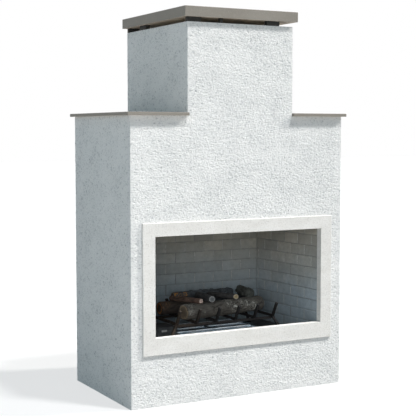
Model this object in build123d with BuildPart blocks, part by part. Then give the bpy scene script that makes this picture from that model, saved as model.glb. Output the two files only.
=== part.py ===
from build123d import *
from math import ceil, cos, hypot, pi, radians, sin
import os

# Outdoor gas-log fireplace. Millimetres, +Z up, front faces -Y.
# The origin is the middle of the base, on the ground.

# Masonry-look body
body_width = 1236.0
body_depth = 722.0
body_height = 1444.0
chimney_width = 612.0
chimney_height = 462.0
coat_thickness = 6.0
board_thickness = 12.0

# Slabs that lie on the shoulders and over the chimney
ledge_thickness = 16.0
ledge_overhang = 21.0
ledge_arris = 1.5
cap_gap = 24.0
cap_thickness = 51.0
cap_side_overhang = 22.0
cap_front_overhang = 18.5
cap_arris = 2.0
cap_drip_inset = 9.0
cap_drip_width = 5.0
cap_drip_depth = 4.0

# Spacer bars between the chimney and its cap
spacer_length = 75.0
spacer_width = 24.0
spacer_right_inset = 81.0
side_spacer_setback = 160.0
shim_width = 15.0
shim_from_left = 184.0

# Fire opening and the smooth surround
opening_side = 128.0
opening_height = 505.0
sill_height = 345.0
reveal_depth = 28.0
surround_projection = 9.0
surround_border = 67.5
surround_base_border = 85.0
surround_return = 12.0
surround_arris = 2.0

# Brick-lined firebox
space_behind_firebox = 150.0
firebox_splay = 50.0
hearth_drop = 67.0
hearth_slab = 30.0
brick_course = 59.0
brick_pitch = 120.0
course_count = 11
mortar_joint = 4.0
mortar_depth = 2.5
panel_thickness = 30.0
back_bond_shift = 91.0
side_bond_shift = 108.0
shell_sheet = 1.5
shell_rear_gap = 4.0

# Smoke hood and flue
hood_height = 263.0
hood_neck = 290.0
flue_radius = 127.0
flue_sheet = 1.0
flue_ledge = 7.0
collar_height = 30.0
chase_plate = 3.0

# Welded galvanised tube frame
tube_side = 40.0
tube_wall = 2.0
hood_rail_clearance = 10.0
bearer_front_setback = 93.0
bearer_rear_setback = 46.0
bearer_pipe_gap = 12.0
base_cross_spacing = 380.0

# Rear access opening and its door
access_side = 368.0
access_height = 300.0
access_sill = 70.0
door_sheet = 1.5
door_flange = 24.0
door_return = 22.0
door_gap = 1.5
door_pan_depth = 14.0
door_lip = 10.0
louvre_share = 0.72
louvre_pitch = 26.0
louvre_count = 6
louvre_slot = 7.0
louvre_hood = 7.0
hinge_pin_radius = 2.5
hinge_barrel_radius = 4.5
hinge_length = 48.0
hinge_inset = 50.0
hinge_leaf_width = 20.0
latch_inset = 32.0
latch_spindle_radius = 5.0
latch_bezel_radius = 13.0
latch_wing_height = 9.0
latch_wing_length = 32.0
latch_wing_width = 5.0
latch_cam_thickness = 2.5
latch_cam_width = 12.0

# Fire grate of square bar
grate_width_share = 0.592
grate_depth_share = 0.579
grate_setback_share = 0.287
grate_bar = 12.0
grate_bar_count = 6
grate_rise = 94.0
tine_rise = 76.0
tine_lean = 42.0
grate_leg_splay = 55.0
grate_leg_lean = 26.0
grate_rail_inset = 16.0
grate_bend_radius = 14.0

# Stainless burner tray and its tubes
tray_width_share = 0.5
tray_depth_share = 0.848
tray_height = 32.0
tray_from_grate = 20.0
tray_lip = 9.0
tray_slope = 10.0
tray_sheet = 1.5
burner_tube_radius = 12.7
burner_tube_wall = 1.5
burner_end_gap = 10.0
burner_spacing_share = 0.341
burner_setback_share = 0.382
burner_port_radius = 1.6
burner_port_count = 14
burner_link_radius = 9.0
burner_foot_height = 4.8

# Burner controls, under a black cover on the left of the hearth
cover_width = 130.0
cover_depth = 140.0
cover_height = 72.0
cover_sheet = 1.5
cover_bevel = 10.0
cover_from_tray = 17.0
valve_width = 44.0
valve_length = 90.0
valve_height = 38.0
valve_foot = 3.0
valve_front_gap = 30.0
stem_radius = 3.0
stem_flat = 2.2
stem_seat_depth = 12.0
knob_radius = 17.0
knob_length = 18.0
knob_travel = 3.0
knob_gap = 4.0
knob_bore_depth = 13.0
knob_axis_height = 20.0
knob_grip_width = 8.0
button_offset = 40.0
button_radius = 6.5
button_stalk_radius = 4.0
button_travel = 4.0
button_cap_length = 6.0
igniter_radius = 9.0
igniter_length = 38.0
feed_radius = 8.0
feed_hex = 22.0
feed_nut_length = 10.0
pilot_hood_width = 22.0
pilot_hood_height = 18.0
pilot_rod_radius = 2.0
pilot_stand_width = 30.0
pilot_from_left = 40.0
pilot_base_sheet = 2.0

# Gas line in the space under the firebox
pipe_radius = 10.65
pipe_wall = 2.7
pipe_height = 130.0
pipe_bend_radius = 38.0
nipple_projection = 15.0
nipple_washer_radius = 22.0
nipple_washer_thickness = 3.0
shutoff_setback = 71.0
shutoff_length = 70.0
shutoff_core_radius = 15.0
shutoff_hex = 32.0
shutoff_hex_length = 16.0
shutoff_boss_radius = 9.0
shutoff_boss_height = 26.0
lever_spindle_radius = 4.0
lever_length = 80.0
lever_width = 16.0
lever_thickness = 4.0
lever_lift = 4.0

# Cast ceramic logs
log_clearance = 0.1
front_log_share = 0.127
rear_left_share = 0.1205
rear_right_share = 0.124
back_log_share = 0.07
gnarled_share = 0.094
cross_left_share = 0.048
cross_middle_share = 0.062
cross_right_share = 0.051
back_lift_share = 0.1655
bridge_drop_share = 0.0145
log_bow_share = 0.022
stub_rise_share = 0.14
back_stub_share = 0.18
gnarled_seat_share = 0.925
cross_left_seat_share = 0.96
cross_middle_seat_share = 1.0
cross_right_seat_share = 0.9

# Fits
fit = 0.3
running = 0.05
overrun = 5.0

os.makedirs("parts", exist_ok=True)

# Planes and places that several pieces share
front_y = -body_depth / 2
rear_y = body_depth / 2
chimney_top = body_height + chimney_height
coat_inner_y = rear_y - coat_thickness
board_inner_y = coat_inner_y - board_thickness
body_half = body_width / 2
chimney_half = chimney_width / 2
access_width = body_width - 2 * access_side
louvre_length = access_width * louvre_share
coat_inner_x = body_half - coat_thickness
board_inner_x = coat_inner_x - board_thickness
chimney_coat_x = chimney_half - coat_thickness
chimney_board_x = chimney_coat_x - board_thickness
shoulder_under = body_height - board_thickness
opening_width = body_width - 2 * opening_side
opening_half = opening_width / 2
opening_head = sill_height + opening_height
return_half = opening_half + surround_return
return_sill = sill_height - surround_return
return_head = opening_head + surround_return
rough_half = return_half + 2 * fit
rough_sill = return_sill - 2 * fit
rough_head = return_head + 2 * fit
hearth_z = sill_height - hearth_drop
firebox_top = hearth_z + course_count * brick_course
brick_front_y = front_y + reveal_depth + fit
firebox_depth = body_depth - reveal_depth - space_behind_firebox
brick_back_y = brick_front_y + firebox_depth
wall_length = hypot(firebox_depth, firebox_splay)
wall_slant = wall_length / firebox_depth
shell_bottom = hearth_z - hearth_slab - fit - shell_sheet
shell_front_y = -board_inner_y + fit
shell_back_y = brick_back_y + panel_thickness + shell_rear_gap
grate_width = opening_width * grate_width_share
grate_depth = firebox_depth * grate_depth_share
grate_setback = firebox_depth * grate_setback_share
tray_width = opening_width * tray_width_share
tray_depth = grate_depth * tray_depth_share
tray_front_y = brick_front_y + grate_setback + tray_from_grate
burner_tube_length = tray_width - 2 * burner_end_gap
burner_tube_spacing = tray_depth * burner_spacing_share
burner_front_y = tray_front_y + tray_depth * burner_setback_share
pipe_y = burner_front_y - valve_length / 4
valve_x = -(tray_width / 2 + cover_from_tray + cover_width / 2)


def at_front(y):
    """Upright plane whose sketch reads X and Z and that faces the front."""
    return Plane.XZ.offset(-y)


def brick_face_x(y):
    """Half width between the brick side walls at a depth y."""
    return opening_half - firebox_splay * (y - brick_front_y) / firebox_depth


def shell_x(y, extra):
    """Half width of the steel shell's inside at a depth y."""
    return brick_face_x(y) + (panel_thickness + fit + extra) * wall_slant


def finish(part, name):
    """Names a piece and writes it to its own file."""
    part.label = name
    export_step(part, "parts/" + name + ".step")


def square_tubes(plane, centres, length):
    """Equal square tubes that start on one plane and run along its normal."""
    with BuildPart() as tubes:
        with BuildSketch(plane):
            with Locations(*centres):
                Rectangle(tube_side, tube_side)
            with Locations(*centres):
                Rectangle(tube_side - 2 * tube_wall, tube_side - 2 * tube_wall, mode=Mode.SUBTRACT)
        extrude(amount=length)
    return tubes.part


# Stucco coat: one hard shell over all the boards
with BuildPart() as stucco_coat:
    with BuildSketch(Plane.XY):
        Rectangle(body_width, body_depth)
    extrude(amount=body_height)
    with BuildSketch(Plane.XY.offset(body_height)):
        Rectangle(chimney_width, body_depth)
    extrude(amount=chimney_height)
    with BuildSketch(Plane.XY):
        Rectangle(2 * coat_inner_x, 2 * coat_inner_y)
    extrude(amount=body_height, mode=Mode.SUBTRACT)
    with BuildSketch(Plane.XY.offset(body_height)):
        Rectangle(2 * chimney_coat_x, 2 * coat_inner_y)
    extrude(amount=chimney_height, mode=Mode.SUBTRACT)
    with BuildSketch(at_front(front_y + coat_thickness)):
        with Locations((0, (rough_sill + rough_head) / 2)):
            Rectangle(2 * rough_half, rough_head - rough_sill)
    extrude(amount=coat_thickness, mode=Mode.SUBTRACT)
    with BuildSketch(at_front(rear_y)):
        with Locations((0, access_sill + access_height / 2)):
            Rectangle(access_width, access_height)
    extrude(amount=coat_thickness, mode=Mode.SUBTRACT)
    with BuildSketch(at_front(rear_y)):
        with Locations((valve_x, pipe_height)):
            Circle(pipe_radius + fit)
    extrude(amount=coat_thickness, mode=Mode.SUBTRACT)
finish(stucco_coat.part, "stucco_coat")


# Cement boards: flat sheets cut to fit round the openings
def upright_boards(y, pieces):
    """Boards that stand on the plane y and run back by one thickness, as (x0, x1, z0, z1)."""
    with BuildPart() as boards:
        with BuildSketch(at_front(y)):
            for x0, x1, z0, z1 in pieces:
                with Locations(((x0 + x1) / 2, (z0 + z1) / 2)):
                    Rectangle(x1 - x0, z1 - z0)
        extrude(amount=-board_thickness)
    return boards.part


front_board_y = -coat_inner_y
back_board_y = board_inner_y
access_head = access_sill + access_height
finish(
    upright_boards(front_board_y, [(-coat_inner_x, coat_inner_x, 0, rough_sill - fit)]),
    "front_lower_board",
)
finish(
    upright_boards(
        front_board_y,
        [
            (-coat_inner_x, -rough_half, rough_sill, rough_head),
            (rough_half, coat_inner_x, rough_sill, rough_head),
        ],
    ),
    "front_side_boards",
)
finish(
    upright_boards(front_board_y, [(-coat_inner_x, coat_inner_x, rough_head + fit, body_height)]),
    "front_upper_board",
)
finish(
    upright_boards(back_board_y, [(-coat_inner_x, coat_inner_x, 0, access_sill - fit)]),
    "back_lower_board",
)
finish(
    upright_boards(back_board_y, [(-coat_inner_x, coat_inner_x, access_head + fit, body_height)]),
    "back_upper_board",
)

# The pair beside the access door, the left one bored for the gas inlet
with BuildPart() as back_side_boards:
    with BuildSketch(at_front(back_board_y)):
        for side in (-1, 1):
            board_width = coat_inner_x - access_width / 2
            with Locations((side * (coat_inner_x - board_width / 2), access_sill + access_height / 2)):
                Rectangle(board_width, access_height)
        with Locations((valve_x, pipe_height)):
            Circle(pipe_radius + fit, mode=Mode.SUBTRACT)
    extrude(amount=-board_thickness)
finish(back_side_boards.part, "back_side_boards")

with BuildPart() as side_boards:
    for side in (-1, 1):
        with BuildSketch(Plane.XY):
            with Locations((side * (coat_inner_x - board_thickness / 2), 0)):
                Rectangle(board_thickness, 2 * board_inner_y - 2 * fit)
        extrude(amount=shoulder_under - fit)
finish(side_boards.part, "side_boards")

with BuildPart() as shoulder_boards:
    shoulder_width = coat_inner_x - chimney_coat_x - fit
    with BuildSketch(Plane.XY.offset(shoulder_under)):
        for side in (-1, 1):
            with Locations((side * (coat_inner_x - shoulder_width / 2), 0)):
                Rectangle(shoulder_width, 2 * board_inner_y - 2 * fit)
    extrude(amount=board_thickness)
finish(shoulder_boards.part, "shoulder_boards")

with BuildPart() as chimney_side_boards:
    with BuildSketch(Plane.XY.offset(shoulder_under)):
        for side in (-1, 1):
            with Locations((side * (chimney_coat_x - board_thickness / 2), 0)):
                Rectangle(board_thickness, 2 * board_inner_y - 2 * fit)
    extrude(amount=chimney_top - shoulder_under)
finish(chimney_side_boards.part, "chimney_side_boards")

with BuildPart() as chimney_face_boards:
    with BuildSketch(Plane.XY.offset(body_height + fit)):
        for side in (-1, 1):
            with Locations((0, side * (coat_inner_y - board_thickness / 2))):
                Rectangle(2 * chimney_coat_x, board_thickness)
    extrude(amount=chimney_height - fit)
finish(chimney_face_boards.part, "chimney_face_boards")

# Ledge slabs on the shoulders
ledge_length = body_depth + 2 * ledge_overhang
ledge_width = body_half - chimney_half + ledge_overhang - fit
for side, ledge_name in ((-1, "left_ledge"), (1, "right_ledge")):
    with BuildPart() as ledge:
        with BuildSketch(Plane.XY.offset(body_height)):
            with Locations((side * (body_half + ledge_overhang - ledge_width / 2), 0)):
                Rectangle(ledge_width, ledge_length)
        extrude(amount=ledge_thickness)
        chamfer(ledge.edges().group_by(Axis.Z)[-1], length=ledge_arris)
    finish(ledge.part, ledge_name)

# Chimney cap: a thick slab with a drip groove cut under its edge
cap_width = chimney_width + 2 * cap_side_overhang
cap_depth = body_depth + 2 * cap_front_overhang
cap_under = chimney_top + cap_gap
with BuildPart() as chimney_cap:
    with BuildSketch(Plane.XY.offset(cap_under)):
        Rectangle(cap_width, cap_depth)
    extrude(amount=cap_thickness)
    chamfer(chimney_cap.edges().group_by(Axis.Z)[-1], length=cap_arris)
    with BuildSketch(Plane.XY.offset(cap_under)):
        Rectangle(cap_width - 2 * cap_drip_inset, cap_depth - 2 * cap_drip_inset)
        drip_inner = cap_drip_inset + cap_drip_width
        Rectangle(cap_width - 2 * drip_inner, cap_depth - 2 * drip_inner, mode=Mode.SUBTRACT)
    extrude(amount=cap_drip_depth, mode=Mode.SUBTRACT)
finish(chimney_cap.part, "chimney_cap")

# Spacer bars: two along the front, two along the back, one on each side and a slim shim
spacer_left_x = -chimney_half + spacer_length / 2
spacer_right_x = chimney_half - spacer_right_inset - spacer_length / 2
spacer_row_y = rear_y - spacer_width / 2
side_spacer_y = rear_y - side_spacer_setback - spacer_length / 2
with BuildPart() as cap_spacers:
    with BuildSketch(Plane.XY.offset(chimney_top)):
        for row_y in (-spacer_row_y, spacer_row_y):
            with Locations((spacer_left_x, row_y), (spacer_right_x, row_y)):
                Rectangle(spacer_length, spacer_width)
        for side in (-1, 1):
            with Locations((side * (chimney_half - spacer_width / 2), side_spacer_y)):
                Rectangle(spacer_width, spacer_length)
        with Locations((-chimney_half + shim_from_left + shim_width / 2, -spacer_row_y)):
            Rectangle(shim_width, spacer_width)
    extrude(amount=cap_gap)
finish(cap_spacers.part, "cap_spacers")

# Surround: a flat band on the face and a return that lines the opening
band_sill = sill_height - surround_base_border
band_head = opening_head + surround_border
band_width = opening_width + 2 * surround_border
with BuildPart() as surround_frame:
    with BuildSketch(at_front(front_y)):
        with Locations((0, (band_sill + band_head) / 2)):
            Rectangle(band_width, band_head - band_sill)
    extrude(amount=surround_projection)
    chamfer(surround_frame.edges().group_by(Axis.Y)[0], length=surround_arris)
    with BuildSketch(at_front(front_y)):
        with Locations((0, (sill_height + opening_head) / 2)):
            Rectangle(2 * return_half, return_head - return_sill)
    extrude(amount=-reveal_depth)
    with BuildSketch(at_front(front_y + reveal_depth)):
        with Locations((0, (sill_height + opening_head) / 2)):
            Rectangle(opening_width, opening_height)
    extrude(amount=reveal_depth + surround_projection, mode=Mode.SUBTRACT)
finish(surround_frame.part, "surround_frame")

# Tube frame: the base ring with its cross rails
post_x = board_inner_x - fit - tube_side / 2
post_y = board_inner_y - fit - tube_side / 2
rail_length = 2 * post_x + tube_side
cross_length = 2 * post_y - tube_side - 2 * fit
cross_start = -cross_length / 2
between_posts = 2 * post_x - tube_side - 2 * fit
with BuildPart() as base_frame:
    base_rows = [(-post_y, tube_side / 2), (post_y, tube_side / 2)]
    add(square_tubes(Plane.YZ.offset(-rail_length / 2), base_rows, rail_length))
    cross_places = [-post_x, -base_cross_spacing / 2, base_cross_spacing / 2, post_x]
    add(square_tubes(at_front(cross_length / 2), [(x, tube_side / 2) for x in cross_places], cross_length))
finish(base_frame.part, "base_frame")

corner_spots = [(x, y) for x in (-post_x, post_x) for y in (-post_y, post_y)]
post_base = tube_side + fit
post_top = shoulder_under - fit - tube_side - fit
finish(square_tubes(Plane.XY.offset(post_base), corner_spots, post_top - post_base), "corner_posts")

# Bearers that carry the firebox
bearer_z = shell_bottom - fit - tube_side / 2
bearer_front_y = front_y + bearer_front_setback + tube_side / 2
bearer_rear_y = shell_back_y - bearer_rear_setback
bearer_mid_y = pipe_y + pipe_radius + bearer_pipe_gap + tube_side / 2
bearer_rows = [bearer_front_y, bearer_mid_y, bearer_rear_y]
with BuildPart() as bearers:
    add(square_tubes(at_front(cross_length / 2), [(-post_x, bearer_z), (post_x, bearer_z)], cross_length))
    bearer_spots = [(y, bearer_z) for y in bearer_rows]
    add(square_tubes(Plane.YZ.offset(-between_posts / 2), bearer_spots, between_posts))
finish(bearers.part, "bearers")

# Rails across the front and the back, above the opening
hood_front_run = -shell_front_y - hood_neck / 2
mid_rail_rise = hood_height * (tube_side + hood_rail_clearance) / hood_front_run
mid_rail_z = firebox_top + mid_rail_rise + tube_side / 2
mid_rows = [(-post_y, mid_rail_z), (post_y, mid_rail_z)]
finish(square_tubes(Plane.YZ.offset(-between_posts / 2), mid_rows, between_posts), "mid_rails")

# Posts beside the access opening
jamb_x = access_width / 2 + fit + tube_side / 2
jamb_top = mid_rail_z - tube_side / 2 - fit
jamb_spots = [(-jamb_x, post_y), (jamb_x, post_y)]
finish(square_tubes(Plane.XY.offset(post_base), jamb_spots, jamb_top - post_base), "rear_jamb_posts")

# Top ring of the body, with rails under the chimney walls
chimney_post_x = chimney_board_x - fit - tube_side / 2
top_rail_z = shoulder_under - fit - tube_side / 2
with BuildPart() as top_frame:
    top_rows = [(-post_y, top_rail_z), (post_y, top_rail_z)]
    add(square_tubes(Plane.YZ.offset(-rail_length / 2), top_rows, rail_length))
    top_places = [-post_x, -chimney_post_x, chimney_post_x, post_x]
    add(square_tubes(at_front(cross_length / 2), [(x, top_rail_z) for x in top_places], cross_length))
finish(top_frame.part, "top_frame")

# Chimney posts and the ring that closes them
chimney_ring_z = chimney_top - chase_plate - fit - tube_side / 2
chimney_spots = [(x, y) for x in (-chimney_post_x, chimney_post_x) for y in (-post_y, post_y)]
chimney_post_height = chimney_ring_z - tube_side / 2 - fit - shoulder_under
finish(square_tubes(Plane.XY.offset(shoulder_under), chimney_spots, chimney_post_height), "chimney_posts")

chimney_rail_length = 2 * chimney_post_x + tube_side
ring_rows = [(-post_y, chimney_ring_z), (post_y, chimney_ring_z)]
ring_sides = [(-chimney_post_x, chimney_ring_z), (chimney_post_x, chimney_ring_z)]
with BuildPart() as chimney_top_frame:
    add(square_tubes(Plane.YZ.offset(-chimney_rail_length / 2), ring_rows, chimney_rail_length))
    add(square_tubes(at_front(cross_length / 2), ring_sides, cross_length))
finish(chimney_top_frame.part, "chimney_top_frame")

# Firebox shell: folded sheet, open at the top, splayed like the brick
def plan_points(y_front, y_back, extra):
    """Corners of the splayed plan, front left first, grown by extra on its sides."""
    front_x = shell_x(y_front, extra)
    back_x = shell_x(y_back, extra)
    return [(-front_x, y_front), (front_x, y_front), (back_x, y_back), (-back_x, y_back)]


shell_plan = plan_points(shell_front_y, shell_back_y + shell_sheet, shell_sheet)
with BuildPart() as firebox_shell:
    with BuildSketch(Plane.XY.offset(shell_bottom)):
        Polygon(*shell_plan, align=None)
    extrude(amount=firebox_top - shell_bottom)
    with BuildSketch(Plane.XY.offset(shell_bottom + shell_sheet)):
        Polygon(*plan_points(shell_front_y + shell_sheet, shell_back_y, 0), align=None)
    extrude(amount=firebox_top - shell_bottom, mode=Mode.SUBTRACT)
    with BuildSketch(at_front(shell_front_y + shell_sheet + overrun)):
        with Locations((0, (rough_sill + rough_head) / 2)):
            Rectangle(2 * rough_half, rough_head - rough_sill)
    extrude(amount=shell_sheet + 2 * overrun, mode=Mode.SUBTRACT)
    with BuildSketch(Plane.XY.offset(shell_bottom)):
        with Locations((valve_x, pipe_y)):
            Circle(pipe_radius + fit)
    extrude(amount=shell_sheet, mode=Mode.SUBTRACT)
finish(firebox_shell.part, "firebox_shell")

with BuildPart() as firebox_floor:
    with BuildSketch(Plane.XY.offset(hearth_z - hearth_slab)):
        Polygon(*plan_points(shell_front_y + shell_sheet + fit, shell_back_y - fit, -fit), align=None)
        with Locations((valve_x, pipe_y)):
            Circle(pipe_radius + fit, mode=Mode.SUBTRACT)
    extrude(amount=hearth_slab)
finish(firebox_floor.part, "firebox_floor")


# Brick lining: cast panels with running-bond bricks between recessed mortar joints
def brick_outlines(run, height, shift):
    """Bricks of a wall, as (centre along, centre up), that fill run by height from one corner."""
    centres = []
    for course in range(course_count):
        offset_run = shift if course % 2 == 0 else shift - brick_pitch / 2
        first = offset_run % brick_pitch - brick_pitch / 2
        for step in range(ceil(run / brick_pitch) + 2):
            along = first + step * brick_pitch
            if 0 < along + brick_pitch / 2 and along - brick_pitch / 2 < run:
                centres.append((along, (course + 1 / 2) * height / course_count))
    return centres


brick_length = brick_pitch - mortar_joint
brick_height = brick_course - mortar_joint
lining_height = course_count * brick_course
side_run = wall_length + panel_thickness
side_plane = Plane(
    origin=(opening_half, brick_front_y, hearth_z),
    x_dir=(-firebox_splay, firebox_depth, 0),
    z_dir=(firebox_depth, firebox_splay, 0),
)
with BuildPart() as right_brick_panel:
    with BuildSketch(side_plane.offset(mortar_depth)):
        Rectangle(side_run, lining_height, align=Align.MIN)
    extrude(amount=panel_thickness - mortar_depth)
    with BuildSketch(side_plane):
        with Locations(*brick_outlines(side_run, lining_height, side_bond_shift)):
            Rectangle(brick_length, brick_height)
        Rectangle(side_run, lining_height, align=Align.MIN, mode=Mode.INTERSECT)
    extrude(amount=mortar_depth)
finish(right_brick_panel.part, "right_brick_panel")

with BuildPart() as left_brick_panel:
    mirror(right_brick_panel.part, about=Plane.YZ)
finish(left_brick_panel.part, "left_brick_panel")

back_half = brick_face_x(brick_back_y) - fit * wall_slant
back_taper = panel_thickness * firebox_splay / firebox_depth
groove_taper = mortar_depth * firebox_splay / firebox_depth
back_plan = [
    (-back_half + groove_taper, brick_back_y + mortar_depth),
    (back_half - groove_taper, brick_back_y + mortar_depth),
    (back_half - back_taper, brick_back_y + panel_thickness),
    (-back_half + back_taper, brick_back_y + panel_thickness),
]
back_width = 2 * (back_half - groove_taper)
with BuildPart() as back_brick_panel:
    with BuildSketch(Plane.XY.offset(hearth_z)):
        Polygon(*back_plan, align=None)
    extrude(amount=lining_height)
    with BuildSketch(at_front(brick_back_y + mortar_depth)):
        brick_shift = back_bond_shift + back_width / 2
        for along, up in brick_outlines(back_width, lining_height, brick_shift):
            with Locations((along - back_width / 2, hearth_z + up)):
                Rectangle(brick_length, brick_height)
        with Locations((0, hearth_z + lining_height / 2)):
            Rectangle(back_width, lining_height, mode=Mode.INTERSECT)
    extrude(amount=mortar_depth)
finish(back_brick_panel.part, "back_brick_panel")

# Smoke hood: a four-sided funnel with a ledge and a collar for the flue
hood_top = firebox_top + hood_height
hood_inner_plan = plan_points(shell_front_y + shell_sheet, shell_back_y, 0)
with BuildPart() as smoke_hood:
    with BuildSketch(Plane.XY.offset(firebox_top)):
        Polygon(*shell_plan, align=None)
    with BuildSketch(Plane.XY.offset(hood_top)):
        Rectangle(hood_neck, hood_neck)
    loft(ruled=True)
    with BuildSketch(Plane.XY.offset(firebox_top)):
        Polygon(*hood_inner_plan, align=None)
    with BuildSketch(Plane.XY.offset(hood_top)):
        Rectangle(hood_neck - 2 * shell_sheet, hood_neck - 2 * shell_sheet)
    loft(ruled=True, mode=Mode.SUBTRACT)
    with BuildSketch(Plane.XY.offset(hood_top)):
        Rectangle(hood_neck, hood_neck)
        Circle(flue_radius - flue_ledge, mode=Mode.SUBTRACT)
    extrude(amount=shell_sheet)
    with BuildSketch(Plane.XY.offset(hood_top + shell_sheet)):
        Circle(flue_radius + fit + shell_sheet)
        Circle(flue_radius + fit, mode=Mode.SUBTRACT)
    extrude(amount=collar_height)
finish(smoke_hood.part, "smoke_hood")

with BuildPart() as flue_pipe:
    with BuildSketch(Plane.XY.offset(hood_top + shell_sheet)):
        Circle(flue_radius)
        Circle(flue_radius - flue_sheet, mode=Mode.SUBTRACT)
    extrude(amount=chimney_top - hood_top - shell_sheet)
finish(flue_pipe.part, "flue_pipe")

with BuildPart() as chase_cover:
    with BuildSketch(Plane.XY.offset(chimney_top - chase_plate)):
        Rectangle(2 * chimney_board_x - 2 * fit, 2 * board_inner_y - 2 * fit)
        Circle(flue_radius + fit, mode=Mode.SUBTRACT)
    extrude(amount=chase_plate)
finish(chase_cover.part, "chase_cover")

# Grate: bent square bars on two rails, with four splayed legs, all welded
grate_front_y = front_y + grate_setback
grate_rear_y = grate_front_y + grate_depth
grate_z = hearth_z + grate_rise
half_bar = grate_bar / 2
bar_step = grate_width / (grate_bar_count - 1)
bar_places = [-grate_width / 2 + step * bar_step for step in range(grate_bar_count)]
bar_path = [
    (grate_front_y - tine_lean, grate_z + tine_rise),
    (grate_front_y, grate_z),
    (grate_rear_y, grate_z),
    (grate_rear_y + tine_lean, grate_z + tine_rise),
]
leg_drop = grate_rise + overrun
leg_reach = grate_leg_splay * leg_drop / grate_rise
leg_forward = grate_leg_lean * leg_drop / grate_rise
with BuildPart() as grate:
    for bar_x in bar_places:
        with BuildSketch(Plane.YZ.offset(bar_x - half_bar)):
            with BuildLine():
                FilletPolyline(*bar_path, radius=grate_bend_radius)
            trace(line_width=grate_bar)
        extrude(amount=grate_bar)
    for rail_y in (grate_front_y + grate_rail_inset, grate_rear_y - grate_rail_inset):
        with BuildSketch(Plane.YZ.offset(-grate_width / 2)):
            with Locations((rail_y, grate_z - grate_bar)):
                Rectangle(grate_bar, grate_bar)
        extrude(amount=grate_width)
    for side in (-1, 1):
        for end_y, away in ((grate_front_y + half_bar, -1), (grate_rear_y - half_bar, 1)):
            leg_plane = Plane(
                origin=(side * grate_width / 2, end_y, grate_z),
                x_dir=(leg_drop, 0, side * leg_reach),
                z_dir=(side * leg_reach, away * leg_forward, -leg_drop),
            )
            with BuildSketch(leg_plane):
                Rectangle(grate_bar, grate_bar)
            extrude(amount=hypot(leg_drop, leg_reach, leg_forward))
    split(bisect_by=Plane.XY.offset(hearth_z), keep=Keep.TOP)
finish(grate.part, "grate")

# Burner tray: a shallow stainless pan with a sloping lip all round
tray_mid_y = tray_front_y + tray_depth / 2
tray_pan_width = tray_width - 2 * tray_slope
tray_pan_depth = tray_depth - 2 * tray_slope
burner_z = hearth_z + tray_sheet + burner_foot_height + burner_tube_radius
with BuildPart() as burner_tray:
    with BuildSketch(Plane.XY.offset(hearth_z)):
        with Locations((0, tray_mid_y)):
            Rectangle(tray_pan_width, tray_pan_depth)
    with BuildSketch(Plane.XY.offset(hearth_z + tray_height)):
        with Locations((0, tray_mid_y)):
            Rectangle(tray_width, tray_depth)
    loft(ruled=True)
    with BuildSketch(Plane.XY.offset(hearth_z + tray_sheet)):
        with Locations((0, tray_mid_y)):
            Rectangle(tray_pan_width - 2 * tray_sheet, tray_pan_depth - 2 * tray_sheet)
    with BuildSketch(Plane.XY.offset(hearth_z + tray_height)):
        with Locations((0, tray_mid_y)):
            Rectangle(tray_width - 2 * tray_sheet, tray_depth - 2 * tray_sheet)
    loft(ruled=True, mode=Mode.SUBTRACT)
    for lip_way in (-1, 1):
        lip_y = tray_mid_y + lip_way * (tray_depth / 2 - tray_sheet)
        with BuildSketch(Plane.YZ.offset(-tray_width / 2)):
            Polygon(
                (lip_y, hearth_z + tray_height),
                (lip_y + lip_way * tray_lip, hearth_z + tray_height - tray_lip),
                (lip_y + lip_way * (tray_lip - tray_sheet), hearth_z + tray_height - tray_lip - tray_sheet),
                (lip_y, hearth_z + tray_height - 2 * tray_sheet),
                align=None,
            )
        extrude(amount=tray_width)
    with BuildSketch(Plane.YZ.offset(-tray_width / 2)):
        with Locations((burner_front_y, burner_z)):
            Circle(feed_radius + fit)
    extrude(amount=tray_slope + tray_sheet, mode=Mode.SUBTRACT)
finish(burner_tray.part, "burner_tray")

# Burner: two capped tubes with gas ports, joined by a link tube and stood on feet
burner_rows = [burner_front_y, burner_front_y + burner_tube_spacing]
port_step = burner_tube_length / (burner_port_count + 1)
port_places = [-burner_tube_length / 2 + (step + 1) * port_step for step in range(burner_port_count)]
foot_x = burner_tube_length / 3
with BuildPart() as burner_tubes:
    with BuildSketch(Plane.YZ.offset(-burner_tube_length / 2)):
        for row_y in burner_rows:
            with Locations((row_y, burner_z)):
                Circle(burner_tube_radius)
    extrude(amount=burner_tube_length)
    with BuildSketch(at_front(burner_rows[1])):
        with Locations((0, burner_z)):
            Circle(burner_link_radius)
    extrude(amount=burner_tube_spacing)
    with BuildSketch(Plane.XY.offset(hearth_z + tray_sheet)):
        for row_y in burner_rows:
            with Locations((-foot_x, row_y), (foot_x, row_y)):
                Rectangle(grate_bar, burner_tube_radius)
    extrude(amount=burner_foot_height + burner_tube_radius)
    with BuildSketch(Plane.YZ.offset(-burner_tube_length / 2 + burner_tube_wall)):
        for row_y in burner_rows:
            with Locations((row_y, burner_z)):
                Circle(burner_tube_radius - burner_tube_wall)
    extrude(amount=burner_tube_length - 2 * burner_tube_wall, mode=Mode.SUBTRACT)
    with BuildSketch(Plane.XY.offset(burner_z)):
        for row_y in burner_rows:
            with Locations(*[(port_x, row_y) for port_x in port_places]):
                Circle(burner_port_radius)
    extrude(amount=burner_tube_radius + overrun, mode=Mode.SUBTRACT)
finish(burner_tubes.part, "burner_tubes")

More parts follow.
